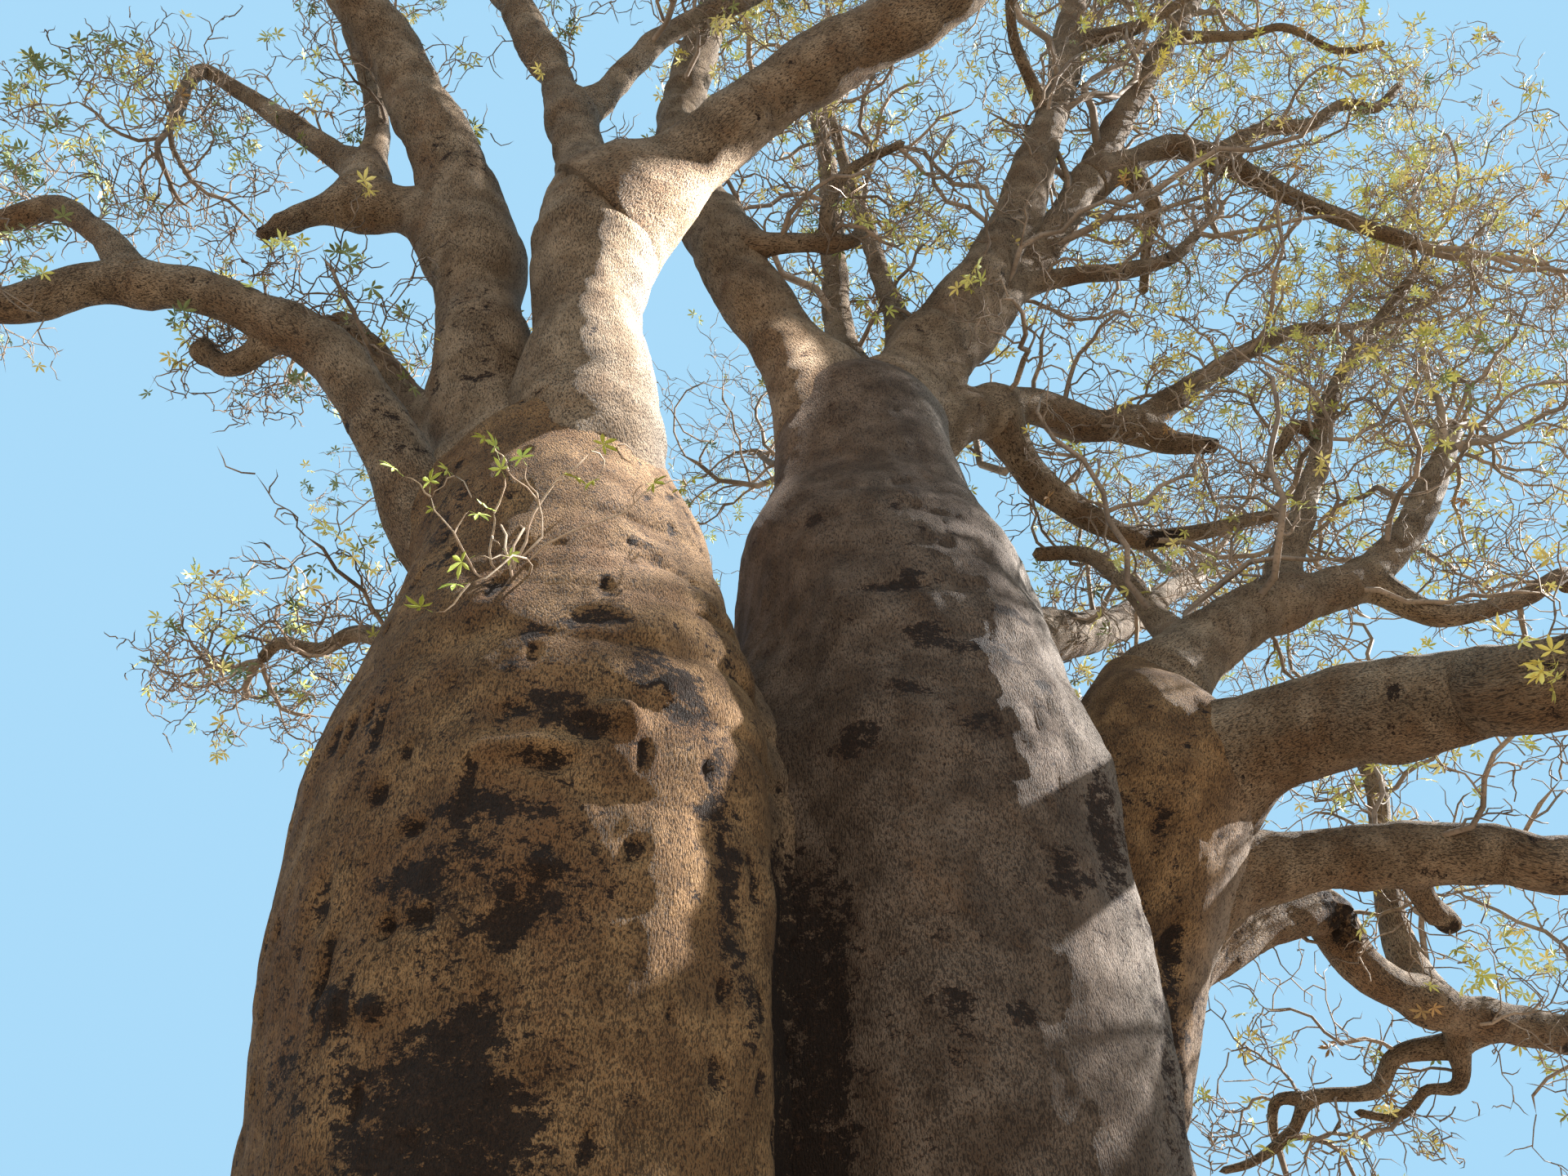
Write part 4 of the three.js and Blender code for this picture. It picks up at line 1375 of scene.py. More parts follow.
BOUGHS = [
    Limb("front_column", "left_stem", 5.4, (0.33, 0.32),
         [(0.35, -72, 64), (1.4, -122, 83), (1.05, -72, 84)], spurs=0.0, warmth=0.3),
    Limb("overhead_bough", "front_column", 2.55, (0.26, 0.12),
         [(1.65, -19, 38), (1.2, -22, 23), (1.0, -35, 32), (1.25, -32, 40), (2.0, -50, 45)], 2.8, 0.4),
    Limb("overhead_fork", "overhead_bough", 3.85, (0.13, 0.09),
         [(1.25, -122, 54), (1.4, -130, 42), (1.6, -140, 45)], 2.8, 0.5),
    Limb("forked_bough", "front_column", 2.55, (0.18, 0.09),
         [(2.2, 164, 74), (1.55, 170, 68), (1.05, -166, 67), (0.95, -125, 75)], 2.3, 0.4),
    Limb("middle_bough", "forked_bough", 1.35, (0.095, 0.06),
         [(1.1, 30, 73), (1.05, 13, 64), (0.8, 11, 49), (1.95, 31, 67), (0.9, -10, 54)], 2.2, 1.4),
    Limb("rear_column", "left_stem", 5.35, (0.33, 0.17),
         [(1.05, 161, 55), (2.25, -168, 78), (1.6, -156, 67), (1.1, -147, 54), (2.25, -136, 55)],
         2.5, 0.2),
    Limb("broken_bough", "rear_column", 3.15, (0.23, 0.05),
         [(0.65, -178, 48), (0.4, 180, 20), (0.35, -171, -17), (0.5, -173, -43)], spurs=0.0, torn=True),
    Limb("crooked_bough", "broken_bough", 1.1, (0.12, 0.04),
         [(0.7, 160, 64), (2.05, 169, 48), (0.35, -170, 17), (1.2, -45, -76)], 1.4, 0.8),
    Limb("left_bough", "left_stem", 5.15, (0.22, 0.05),
         [(0.95, 180, 35), (1.45, -162, 55), (0.8, -168, 32), (0.75, -180, 12),
          (0.6, -180, -23), (0.95, -167, 11), (0.9, -166, 26)], 2.0, 0.5),
    Limb("left_fork", "left_bough", 3.75, (0.1, 0.05),
         [(1.2, 173, 47), (0.55, 169, 9), (1.05, 168, 27)], 1.9, 1.0),
    Limb("dark_snag", "rear_column", 1.55, (0.17, 0.045),
         [(0.8, 165, 40), (1.05, 166, 56), (0.2, 179, 20)], 1.0, 1.2),
    Limb("low_left_bough", "left_stem", 4.8, (0.09, 0.04),
         [(1.65, 146, 30), (0.6, 145, 29), (0.35, 145, 3), (0.45, 152, 24), (0.2, 145, -24)], 1.0, 2.6),
    Limb("inner_bough", "right_stem", 6.7, (0.28, 0.12),
         [(2.4, -174, 67), (1.65, 166, 75), (1.05, 78, 85), (2.05, 39, 81), (1.0, 105, 71)], 2.2, 1.2),
    Limb("upright_bough", "right_stem", 6.95, (0.22, 0.11),
         [(1.1, 14, 68), (1.5, 8, 62), (2.15, 12, 70), (2.8, 16, 75), (1.0, 36, 64)], 2.2, 1.8),
    Limb("leaning_bough", "right_stem", 7.05, (0.19, 0.09),
         [(1.1, 19, 55), (1.65, 23, 63), (0.75, 14, 55), (2.85, 9, 64), (2.05, 0, 63)], 2.3, 2.0),
    Limb("arching_bough", "leaning_bough", 4.35, (0.12, 0.06),
         [(0.9, 3, 41), (0.5, -1, -8), (1.1, 7, -35), (0.9, 13, -14)], 2.2, 2.6),
    Limb("level_inner_bough", "leaning_bough", 1.65, (0.11, 0.045),
         [(0.8, 13, 56), (0.55, 12, 36), (1.1, 12, 27), (0.65, 13, 49)], 1.9, 2.4),
    Limb("pale_bough", "right_stem", 7.1, (0.14, 0.07),
         [(1.55, 90, 67), (2.1, 99, 79), (1.45, 101, 82), (1.35, 104, 81)], 2.2, 1.8),
    Limb("winding_bough", "right_stem", 6.65, (0.21, 0.05),
         [(1.15, 25, 52), (0.95, 31, 37), (0.95, 26, 14), (2.3, 14, 41), (0.7, 7, 19)], 2.0, 2.2),
    Limb("drooping_bough", "winding_bough", 1.65, (0.11, 0.05),
         [(0.7, 47, -37), (0.85, 28, -7), (1.35, 14, 21)], 1.9, 2.4,
         scars=(Scar(1.75, 0.2, (0.0, -0.8, -0.6)),)),
    Limb("rising_bough", "side_stem", 4.65, (0.25, 0.08),
         [(0.95, 13, 62), (1.0, 15, 39), (1.35, 15, 30), (1.75, 16, 53)], 2.1, 1.6),
    Limb("tall_bough", "rising_bough", 2.15, (0.1, 0.04),
         [(1.75, 25, 61), (1.3, 19, 63), (2.8, 14, 53)], 2.2, 2.2),
    Limb("great_bough", "side_stem", 4.55, (0.28, 0.13),
         [(0.5, -13, 22), (0.65, -42, 3), (0.8, -51, -14), (0.4, -68, -24),
          (1.25, -36, 4), (1.2, -26, 24), (1.1, -21, 40)], 2.6, 0.2),
    Limb("level_bough", "side_stem", 3.85, (0.2, 0.1),
         [(1.05, 6, 27), (1.15, -10, 0), (0.35, -17, -20), (1.05, 11, 5), (1.1, 17, 21), (1.15, 18, 33)],
         2.4, 1.2, scars=(Scar(3.2, 0.3, (0.1, -0.5, -0.9)),)),
    Limb("torn_bough", "side_stem", 3.5, (0.18, 0.08),
         [(1.05, 26, 31), (0.9, 29, 20), (0.7, 39, -26), (1.5, 24, -2), (1.05, 29, 12), (1.0, 30, 37)],
         2.3, 1.5, warmth=0.6,
         scars=(Scar(2.05, 0.22, (0.1, -0.9, -0.2)), Scar(4.3, 0.3, (0.2, -0.7, -0.7)))),
    Limb("back_left_bough", "left_stem", 5.7, (0.26, 0.09),
         [(1.2, 113, 48), (1.4, 115, 53), (1.4, 117, 51), (1.8, 111, 44)], 2.5, 0.8),
    Limb("low_back_bough", "left_stem", 4.7, (0.22, 0.08),
         [(1.15, 94, 20), (1.05, 101, 11), (1.25, 100, 24), (1.0, 84, 29)], 2.4, 1.0),
    Limb("back_bough", "right_stem", 6.4, (0.24, 0.09),
         [(1.05, 88, 41), (1.3, 102, 44), (1.45, 84, 51), (2.2, 100, 45)], 2.8, 1.0),
    Limb("back_right_bough", "right_stem", 5.5, (0.22, 0.09),
         [(1.3, 45, 28), (1.2, 49, 29), (1.4, 52, 35), (1.15, 58, 37), (1.6, 45, 40)], 2.8, 1.0),
]

# Smaller limbs, which stand for part of the masses of foliage.
SMALL_LIMBS = [
    Limb("knob_upright", "broken_bough", 1.15, (0.12, 0.06),
         [(1.45, 142, 79), (2.05, 177, 69), (0.95, 140, 71)], spurs=1.2),
    Limb("crossing_limb", "inner_bough", 2.55, (0.1, 0.05),
         [(0.2, -35, -21), (0.35, -25, -51), (0.55, 5, 9), (0.25, 19, 51)], spurs=3.0),
    Limb("arching_fork", "arching_bough", 1.5, (0.08, 0.045),
         [(0.7, 0, 43), (0.55, 6, 22), (0.6, 6, 40), (0.3, 0, -12), (0.6, 7, 50)], spurs=2.6),
    Limb("slender_limb", "upright_bough", 0.9, (0.1, 0.05),
         [(1.05, 88, 73), (2.05, 114, 77), (1.8, 140, 81)], spurs=2.0),
    Limb("inward_limb", "rising_bough", 1.1, (0.12, 0.045),
         [(0.6, 81, 62), (0.95, 117, 62), (0.5, 153, 25)], spurs=2.4),
    Limb("outward_limb", "rising_bough", 3.05, (0.09, 0.05),
         [(0.5, -7, -41), (0.6, 0, 14), (0.55, 12, 31), (0.2, 64, -8)], spurs=2.4),
    Limb("hooked_limb", "torn_bough", 3.5, (0.066, 0.024),
         [(0.23, 149, -27), (0.37, 169, -10), (0.25, 130, -41), (0.38, 173, -5), (0.25, 132, -40),
          (0.29, 152, -27), (0.22, 165, -12)], spurs=2.4),
    Limb("lower_fork", "torn_bough", 3.2, (0.055, 0.022),
         [(0.45, 78, -43), (0.19, 151, -6), (0.15, 113, -24), (0.14, 129, -15), (0.22, 169, 12)],
         spurs=2.0),
    Limb("loop_limb", "hooked_limb", 1.25, (0.032, 0.018),
         [(0.2, 150, 5), (0.19, 101, -51), (0.2, 64, -49)], spurs=2.0),
    Limb("hanging_limb", "torn_bough", 3.0, (0.085, 0.06),
         [(0.6, 79, 75), (1.2, 26, 79), (0.8, 124, 53)], spurs=2.4),
    Limb("winding_stub", "winding_bough", 3.1, (0.105, 0.07),
         [(0.45, 25, -5), (0.4, 17, 10)], spurs=1.2, torn=True),
    Limb("zigzag_limb", "tall_bough", 2.2, (0.05, 0.025),
         [(0.2, -173, 21), (0.15, 133, -33), (0.2, 127, -38), (0.15, 109, -41)], spurs=2.0),
    Limb("side_limb", "arching_bough", 0.5, (0.08, 0.045),
         [(0.45, 42, -24), (0.35, 94, -35), (0.45, 91, -39)], spurs=2.0),
    Limb("front_limb", "upright_bough", 4.8, (0.065, 0.035),
         [(0.4, -127, 29), (0.35, -119, 31), (0.45, -99, 39)], spurs=2.0),
    Limb("upper_limb", "upright_bough", 6.35, (0.075, 0.04),
         [(0.75, -6, 17), (0.55, -15, 29), (0.55, -21, 35)], spurs=2.4),
    Limb("far_limb", "leaning_bough", 7.45, (0.06, 0.03),
         [(0.8, 3, 6), (0.5, -2, 17), (0.6, 18, -10), (0.55, -1, 14)], spurs=2.4),
    Limb("curled_limb", "crossing_limb", 1.0, (0.05, 0.03),
         [(0.3, -88, 66), (0.3, -37, 56), (0.5, -11, 28)], spurs=2.4),
    Limb("knob_limb", "left_bough", 2.8, (0.08, 0.055),
         [(0.35, 146, -10), (0.25, 157, 13), (0.25, 177, 43)], spurs=1.0, torn=True),
    Limb("level_stub", "level_bough", 1.85, (0.06, 0.05),
         [(0.35, 54, -27), (0.3, 41, -17)], spurs=0.6, torn=True),
    Limb("snag_fork", "dark_snag", 1.05, (0.055, 0.035),
         [(0.3, -123, 37), (0.25, -155, 13)], spurs=0.8, torn=True),
]


@dataclass
class Wood:
    """All stems and limbs, laid out on each other."""

    stems: List[Stem]
    boughs: List[Limb]
    small: List[Limb]

    # The width of a fillet, as a share of the radius at the limb's foot.
    FILLET = 0.95

    def lay(self) -> None:
        """Lays each limb on its parent, in order."""
        starts = {stem.name: stem.at for stem in self.stems}
        for limb in self.boughs + self.small:
            limb.lay(starts[limb.parent](limb.at))
            starts[limb.name] = limb.line.at

    def _neighbours(self, name: str) -> List[Tuple[Line, float]]:
        """The lines that a stem or limb runs into, each with the width of its fillet.

        Args:
            name: the stem or limb.

        Returns:
            For a limb, the lines of its parent, its children and its parent's other children.
            For a stem, those of the other stems, with a width of 0, and of its children.
        """
        limbs = self.boughs + self.small
        by_name = {item.name: item for item in self.stems + limbs}
        me = by_name[name]
        found = []
        if isinstance(me, Stem):
            found += [(other.line, 0.0) for other in self.stems if other is not me]
        else:
            found.append((by_name[me.parent].line, self._width(me)))
            for other in limbs:
                if other is not me and other.parent == me.parent:
                    found.append((other.line, min(self._width(me), self._width(other))))
        for child in limbs:
            if child.parent == name:
                found.append((child.line, self._width(child)))
        return found

    def _width(self, limb: Limb) -> float:
        """The width of the fillet at a limb's foot."""
        return self.FILLET * limb.radii[0] * (1.0 + limb.SWELL)

    def dress(self, materials: Dict[str, bpy.types.Material]) -> None:
        """Makes the pieces that replace the stems and boughs, and the smaller limbs.

        Args:
            materials: the finishes by name.
        """
        for stem in self.stems:
            surface = stem.surface(self._neighbours(stem.name))
            material = materials[stem.name]
            add_piece(stem.name + "_bark", surface, material, [stem.name])
        for limb in self.boughs:
            surface = limb.surface(self._neighbours(limb.name))
            add_piece(limb.name + "_bark", surface, materials["bough"], [limb.name])
        for limb in self.small:
            surface = limb.surface(self._neighbours(limb.name))
            add_piece(limb.name, surface, materials["bough"])


# Twigs and leaves.


@dataclass(frozen=True)
class Order:
    """One order of twigs: how many grow from each of the last order, and how.

    Stretches and sides count its knees and the vertices in a ring. Length is a share of the
    mass's reach, radius a share of the carrier's, and first where along it they start. Turn is
    their angle from the carrier and knee the angle of each bend, in degrees.
    """

    count: int
    stretches: int
    sides: int
    length: float
    radius: float
    first: float
    turn: Tuple[float, float]
    knee: Tuple[float, float]
    lift: float


@dataclass
class Shoots:
    """Many twigs of one order, as one array of knees for all of them."""

    points: Array
    radii: Array
    mass: Array

    def kept(self, mask: Array) -> "Shoots":
        """Only the twigs that the mask names."""
        return Shoots(self.points[mask], self.radii[mask], self.mass[mask])

    def tip_ways(self) -> Array:
        """The direction of each twig's last stretch."""
        return unit(self.points[:, -1] - self.points[:, -2])


def shoot_surface(shoots: Shoots, sides: int) -> Surface:
    """The skins of many twigs: a ring of few vertices at each knee, and a point at the tip.

    A ring's vertices are the knee plus its radius times the cosine and sine of even angles along
    two axes, which are carried from ring to ring without twisting.

    Args:
        shoots: the twigs.
        sides: vertices in a ring.

    Returns:
        One surface with all of them.
    """
    points = shoots.points
    count, knees = points.shape[:2]
    ways = unit(np.gradient(points, axis=1))
    first = np.empty_like(points)
    first[:, 0] = across_from(ways[:, 0])
    for k in range(1, knees):
        along = np.sum(first[:, k - 1] * ways[:, k], axis=1, keepdims=True)
        first[:, k] = unit(first[:, k - 1] - ways[:, k] * along)
    second = np.cross(ways, first)
    angle = np.linspace(0.0, 2.0 * math.pi, sides, endpoint=False)
    ring = first[:, :-1, None] * np.cos(angle)[:, None] + second[:, :-1, None] * np.sin(angle)[:, None]
    rings = points[:, :-1, None] + ring * shoots.radii[:, :-1, None, None]
    each = (knees - 1) * sides + 1
    vertices = np.concatenate([rings.reshape(count, -1, 3), points[:, -1:]], axis=1)
    start = np.arange(count)[:, None, None, None] * each
    row = np.arange(knees - 2)[None, :, None, None] * sides
    side = np.arange(sides)[None, None, :, None]
    after = (side + 1) % sides
    corners = [row + side, row + after, row + sides + after, row + sides + side]
    quads = (start + np.concatenate(corners, axis=-1)).reshape(-1, 4)
    top = (knees - 2) * sides
    around = np.arange(sides)
    tips = np.stack([top + around, top + (around + 1) % sides, np.full(sides, each - 1)], -1)
    triangles = (np.arange(count)[:, None, None] * each + tips).reshape(-1, 3)
    return Surface(vertices.reshape(-1, 3), quads, triangles)


class Tint(Enum):
    """The tints that leaves have, dealt out by spray."""

    YELLOW = LeafFinish("leaf yellow", (0.88, 0.78, 0.3), (0.68, 0.59, 0.15))
    LIME = LeafFinish("leaf yellow green", (0.72, 0.72, 0.24), (0.48, 0.5, 0.11))
    GREEN = LeafFinish("leaf green", (0.26, 0.3, 0.1), (0.14, 0.18, 0.07))
    RUSSET = LeafFinish("leaf russet", (0.45, 0.27, 0.1), (0.32, 0.18, 0.07))


@dataclass(frozen=True)
class PalmateLeaf:
    """A leaf of narrow leaflets that fan out from the end of a stalk.

    Lengths are shares of the leaf's size, the length of its middle leaflet.
    """

    angles: Tuple[float, ...] = (-112.0, -56.0, 0.0, 56.0, 112.0)
    lengths: Tuple[float, ...] = (0.68, 0.92, 1.0, 0.92, 0.68)
    width: float = 0.29
    fold: float = 0.3
    droop: float = 0.22
    stalk: float = 0.75
    stalk_radius: float = 0.014

    def template(self) -> Surface:
        """One leaf of size 1: its stalk runs from the origin along +X, and it faces +Z.

        A leaflet's half outline is the foot, the half widths at three tenths and at two thirds of
        its length, and the tip; its edges stand up from the midrib and its tip droops.

        Returns:
            The leaf's vertices and faces.
        """
        half = 0.5 * self.width
        along = np.array([0.0, 0.3, 0.66, 1.0, 0.66, 0.3])
        across = np.array([0.0, 0.8 * half, half, 0.0, -half, -0.8 * half])
        vertices = []
        quads = []
        for angle, length in zip(np.radians(self.angles), self.lengths):
            base = len(vertices) * len(along)
            x = along * length
            y = across * length
            z = self.fold * np.abs(y) - self.droop * x**2
            turned_x = self.stalk + x * math.cos(angle) - y * math.sin(angle)
            turned_y = x * math.sin(angle) + y * math.cos(angle)
            vertices.append(np.column_stack([turned_x, turned_y, z]))
            quads += [[base, base + 3, base + 2, base + 1], [base, base + 5, base + 4, base + 3]]
        turn = np.radians([90.0, 210.0, 330.0])
        ring = np.column_stack([np.zeros(3), np.cos(turn), np.sin(turn)]) * self.stalk_radius
        stalk = np.concatenate([ring, [[self.stalk, 0.0, 0.0]]])
        foot = len(vertices) * len(along)
        triangles = foot + np.array([[0, 1, 3], [1, 2, 3], [2, 0, 3]])
        return Surface(np.concatenate(vertices + [stalk]), np.array(quads), triangles)

    def leaves(self, feet: Array, ways: Array, faces: Array, sizes: Array) -> Surface:
        """Many leaves.

        Args:
            feet: where each stalk starts.
            ways: the direction of each stalk.
            faces: roughly which way each leaf faces.
            sizes: the size of each leaf, in metres.

        Returns:
            One surface: the template turned onto each way and face, scaled and moved.
        """
        template = self.template()
        side = unit(np.cross(faces, ways))
        up = np.cross(ways, side)
        turn = np.stack([ways, side, up], axis=1) * sizes[:, None, None]
        vertices = np.einsum("vi,nij->nvj", template.vertices, turn) + feet[:, None, :]
        start = (np.arange(len(feet)) * len(template.vertices))[:, None, None]
        quads = (start + template.quads).reshape(-1, 4)
        triangles = (start + template.triangles).reshape(-1, 3)
        return Surface(vertices.reshape(-1, 3), quads, triangles)


@dataclass
class Crown:
    """All that grows on from the boughs: leaders, branches, twigs, twiglets and sprays of leaves."""

    wood: Wood
    leaf: PalmateLeaf = field(default_factory=PalmateLeaf)
    names: List[str] = field(default_factory=list)
    feet: List[Array] = field(default_factory=list)
    reaches: List[float] = field(default_factory=list)

    LEADERS = Order(4, 7, 6, 0.7, 0.66, 0.0, (14, 52), (12, 32), 0.05)
    BRANCHES = Order(6, 8, 4, 0.56, 0.5, 0.12, (35, 78), (18, 46), 0.06)
    TWIGS = Order(6, 6, 3, 0.28, 0.5, 0.1, (35, 80), (20, 50), 0.05)
    TWIGLETS = Order(4, 4, 3, 0.13, 0.6, 0.12, (30, 85), (20, 60), 0.03)
    GOLDEN = 137.5
    FINEST = 0.0055

    # Twigs stay this high above the ground and this far inside the tree's box.
    LOWEST = 0.6
    MARGIN = 0.12

    # A twig that leaves its space is tried again, each time shorter and strayed further.
    ATTEMPTS = 4
    STRAY = 18.0
    SHORTER = 0.2
    UNEVEN = (0.75, 1.25)
    TIP_RADIUS = 0.5

    # How the next order is spread along the last, and how its lengths vary.
    OUTWARD = 0.9
    JITTER = 0.06
    ENDS = (0.02, 0.995)
    LENGTHS = (0.6, 1.25)

    # Leaders start one behind the other, each thinner, and the first goes nearly straight on.
    LEADER_GAP = 0.3
    LEADER_THINNER = 0.13
    LEADER_STRAIGHT = 8.0
    LEADER_LENGTHS = (0.8, 1.1)

    # Spurs, which are the longer and thicker the stronger and the less bare their limb.
    SPUR_LENGTH = (0.6, 2.5)
    SPUR_RADIUS = (0.013, 0.04)
    SPUR_REACH = 1.9
    SPURS_A_METRE = 1.3
    SPUR_SPAN = (0.22, 0.78)
    SPUR_TURN = (45, 85)
    SPUR_SPIN = 40.0
    SPUR_LIFT = 0.15
    SPUR_DEPTH = 0.55
    SPUR_POWER = 1.4
    FULL_LIMB = 0.12
    FULL_SPURS = 1.6
    LEAST_SPUR = 0.5

    # How many twigs may stay in a cube of space.
    CELL = 0.6
    TWIGS_A_CELL = 9
    TWIGLETS_A_CELL = 26

    # The fresh shoots on the neck: each way is a heading, a rise and a length.
    NECK = Order(0, 8, 4, 1.0, 1.0, 0.0, (0, 0), (14, 40), 0.03)
    NECK_TWIGS = Order(2, 4, 3, 0.15, 0.6, 0.35, (35, 75), (20, 45), 0.05)
    NECK_FOOT = (-1.03, -1.2, 4.72)
    NECK_REACH = 1.28
    NECK_WAYS = (
        (-100, 80, 1.2), (-140, 72, 0.9), (-55, 62, 0.8), (-35, 30, 0.75), (-28, 42, 1.0),
        (-150, 45, 0.55), (-40, 12, 0.6), (-85, 30, 0.4),
    )
    NECK_SPREAD = (0.05, 0.015, 0.05)
    NECK_RADIUS = 0.0075
    NECK_TURN = (15, 50)
    NECK_FACING = (0.0, -0.4, 1.0)
    NECK_SWAY = 0.6
    NECK_LEAF_SIZE = (0.05, 0.08)

    # Which tips are leafy, and how large, turned and swayed the leaves are.
    LEAFY = 0.17
    LEAFY_PATCHES = (Lumps(0.5, 1.1, 301, 1), Lumps(0.35, 3.0, 307, 1))
    LEAFY_SWING = 3.0
    LEAFY_LIMITS = (0.12, 3.0)
    LEAVES_A_SPRAY = (1, 5)
    LEAF_SIZE = (0.055, 0.085)
    LEAF_TURN = (25, 85)
    LEAF_SWAY = 0.75

    # Sprays are green by a chance that falls with X, and else yellow, lime or russet by a draw.
    GREEN_CHANCE = (0.16, 0.09)
    GREEN_LIMITS = (0.05, 0.6)
    LIME_DRIFT = Lumps(0.3, 0.9, 311, 1)
    LIME_ABOVE = 0.46
    RUSSET_ABOVE = 0.95

    def _inside(self, points: Array, mass: Array, reaching: bool) -> Array:
        """Which twigs keep within the tree's box and, where they have one, their mass's reach.

        Args:
            points: knees of each twig.
            mass: the mass that each belongs to.
            reaching: whether the reach counts.

        Returns:
            A mask of the twigs whose every knee is inside.
        """
        low = np.array(CAD_BOX[0]) + self.MARGIN
        high = np.array(CAD_BOX[1]) - self.MARGIN
        low[2] = self.LOWEST
        boxed = np.all((points > low) & (points < high), axis=(1, 2))
        if not reaching:
            return boxed
        feet = np.array(self.feet)[mass][:, None, :]
        reach = np.array(self.reaches)[mass][:, None]
        near = np.linalg.norm(points - feet, axis=2) < reach
        return boxed & np.all(near, axis=1)

    def _paths(
        self,
        starts: Array,
        ways: Array,
        lengths: Array,
        radii: Array,
        mass: Array,
        order: Order,
        random: np.random.Generator,
        reaching: bool = True,
    ) -> Shoots:
        """Twigs as paths with a knee between stretches.

        Each stretch turns from the last by a knee at a random spin, then lifts a little. A twig
        that leaves its space is tried again, shorter each time, and dropped in the end.

        Args:
            starts: where each twig starts.
            ways: its first direction.
            lengths: its length.
            radii: its radius at the foot.
            mass: the mass that it belongs to.
            order: stretches, knees and lift.
            random: the source of random numbers.
            reaching: whether they keep to their mass's reach.

        Returns:
            The twigs that stay inside.
        """
        count = len(starts)
        points = np.empty((count, order.stretches + 1, 3))
        good = np.zeros(count, dtype=bool)
        for attempt in range(self.ATTEMPTS):
            left = np.flatnonzero(~good)
            n = len(left)
            if not n:
                break
            strayed = attempt * self.STRAY * random.random(n)
            heading = turned(ways[left], strayed, 360.0 * random.random(n))
            place = starts[left].copy()
            step = lengths[left] * (1.0 - self.SHORTER * attempt) / order.stretches
            points[left, 0] = place
            for k in range(order.stretches):
                uneven = step * random.uniform(*self.UNEVEN, n)
                place = place + heading * uneven[:, None]
                points[left, k + 1] = place
                knee = random.uniform(*order.knee, n)
                heading = turned(heading, knee, 360.0 * random.random(n))
                heading = unit(heading + np.array([0.0, 0.0, order.lift]))
            good[left] = self._inside(points[left], mass[left], reaching)
        taper = np.linspace(1.0, self.TIP_RADIUS, order.stretches + 1)
        return Shoots(points, radii[:, None] * taper, mass).kept(good)

    def _grown(
        self, parents: Shoots, order: Order, random: np.random.Generator, reaching: bool = True
    ) -> Shoots:
        """The next order of twigs, spaced along the last and spun round it by the golden angle.

        Args:
            parents: the twigs that carry them.
            order: how many each carries, and how they grow.
            random: the source of random numbers.
            reaching: whether they keep to their mass's reach.

        Returns:
            The new twigs.
        """
        count, knees = parents.points.shape[:2]
        along = (np.arange(order.count) + self.OUTWARD) / order.count
        share = order.first + (1.0 - order.first) * along
        share = share[None, :] + random.uniform(-self.JITTER, self.JITTER, (count, order.count))
        share = np.clip(share, *self.ENDS) * (knees - 1)
        low = share.astype(int)
        part = (share - low)[..., None]
        row = np.arange(count)[:, None]
        below = parents.points[row, low]
        above = parents.points[row, low + 1]
        starts = below + (above - below) * part
        ways = unit(above - below)
        spin = 360.0 * random.random((count, 1)) + self.GOLDEN * np.arange(order.count)
        away = random.uniform(*order.turn, (count, order.count))
        ways = turned(ways.reshape(-1, 3), away.ravel(), spin.ravel())
        mass = np.repeat(parents.mass, order.count)
        reach = np.array(self.reaches)[mass] if reaching else np.full(len(mass), self.SPUR_REACH)
        lengths = order.length * reach * random.uniform(*self.LENGTHS, len(mass))
        carrier = parents.radii[row, low].ravel()
        radii = np.maximum(order.radius * carrier, self.FINEST)
        return self._paths(starts.reshape(-1, 3), ways, lengths, radii, mass, order, random, reaching)

    def _leaders(self, random: np.random.Generator) -> Shoots:
        """The first limbs of each mass, which fork from its bough's tip.

        Args:
            random: the source of random numbers.

        Returns:
            The leaders of all masses.
        """
        starts, ways, radii, mass = [], [], [], []
        for limb in self.wood.boughs:
            if not limb.foliage:
                continue
            tip = limb.line.points[-1]
            number = self._add_mass(limb.name + "_foliage", tip, limb.foliage)
            way = unit(tip - limb.line.points[-4])
            for k in range(self.LEADERS.count):
                starts.append(tip - way * self.LEADER_GAP * limb.line.radii[-1] * k)
                ways.append(way)
                radii.append(self.LEADERS.radius * limb.radii[1] * (1.0 - self.LEADER_THINNER * k))
                mass.append(number)
        count = len(starts)
        first = np.arange(count) % self.LEADERS.count == 0
        away = np.where(first, self.LEADER_STRAIGHT, random.uniform(*self.LEADERS.turn, count))
        headings = turned(np.array(ways), away, self.GOLDEN * np.arange(count))
        mass = np.array(mass)
        lengths = self.LEADERS.length * np.array(self.reaches)[mass]
        lengths = lengths * random.uniform(*self.LEADER_LENGTHS, count)
        radii = np.array(radii)
        return self._paths(np.array(starts), headings, lengths, radii, mass, self.LEADERS, random)

    def _add_mass(self, name: str, foot: Array, reach: float) -> int:
        """Takes note of a mass, and gives its number.

        Args:
            name: the node that it stands for.
            foot: where it starts.
            reach: how far its twigs may be from there.

        Returns:
            Its place in the lists.
        """
        self.names.append(name)
        self.feet.append(foot)
        self.reaches.append(reach)
        return len(self.names) - 1

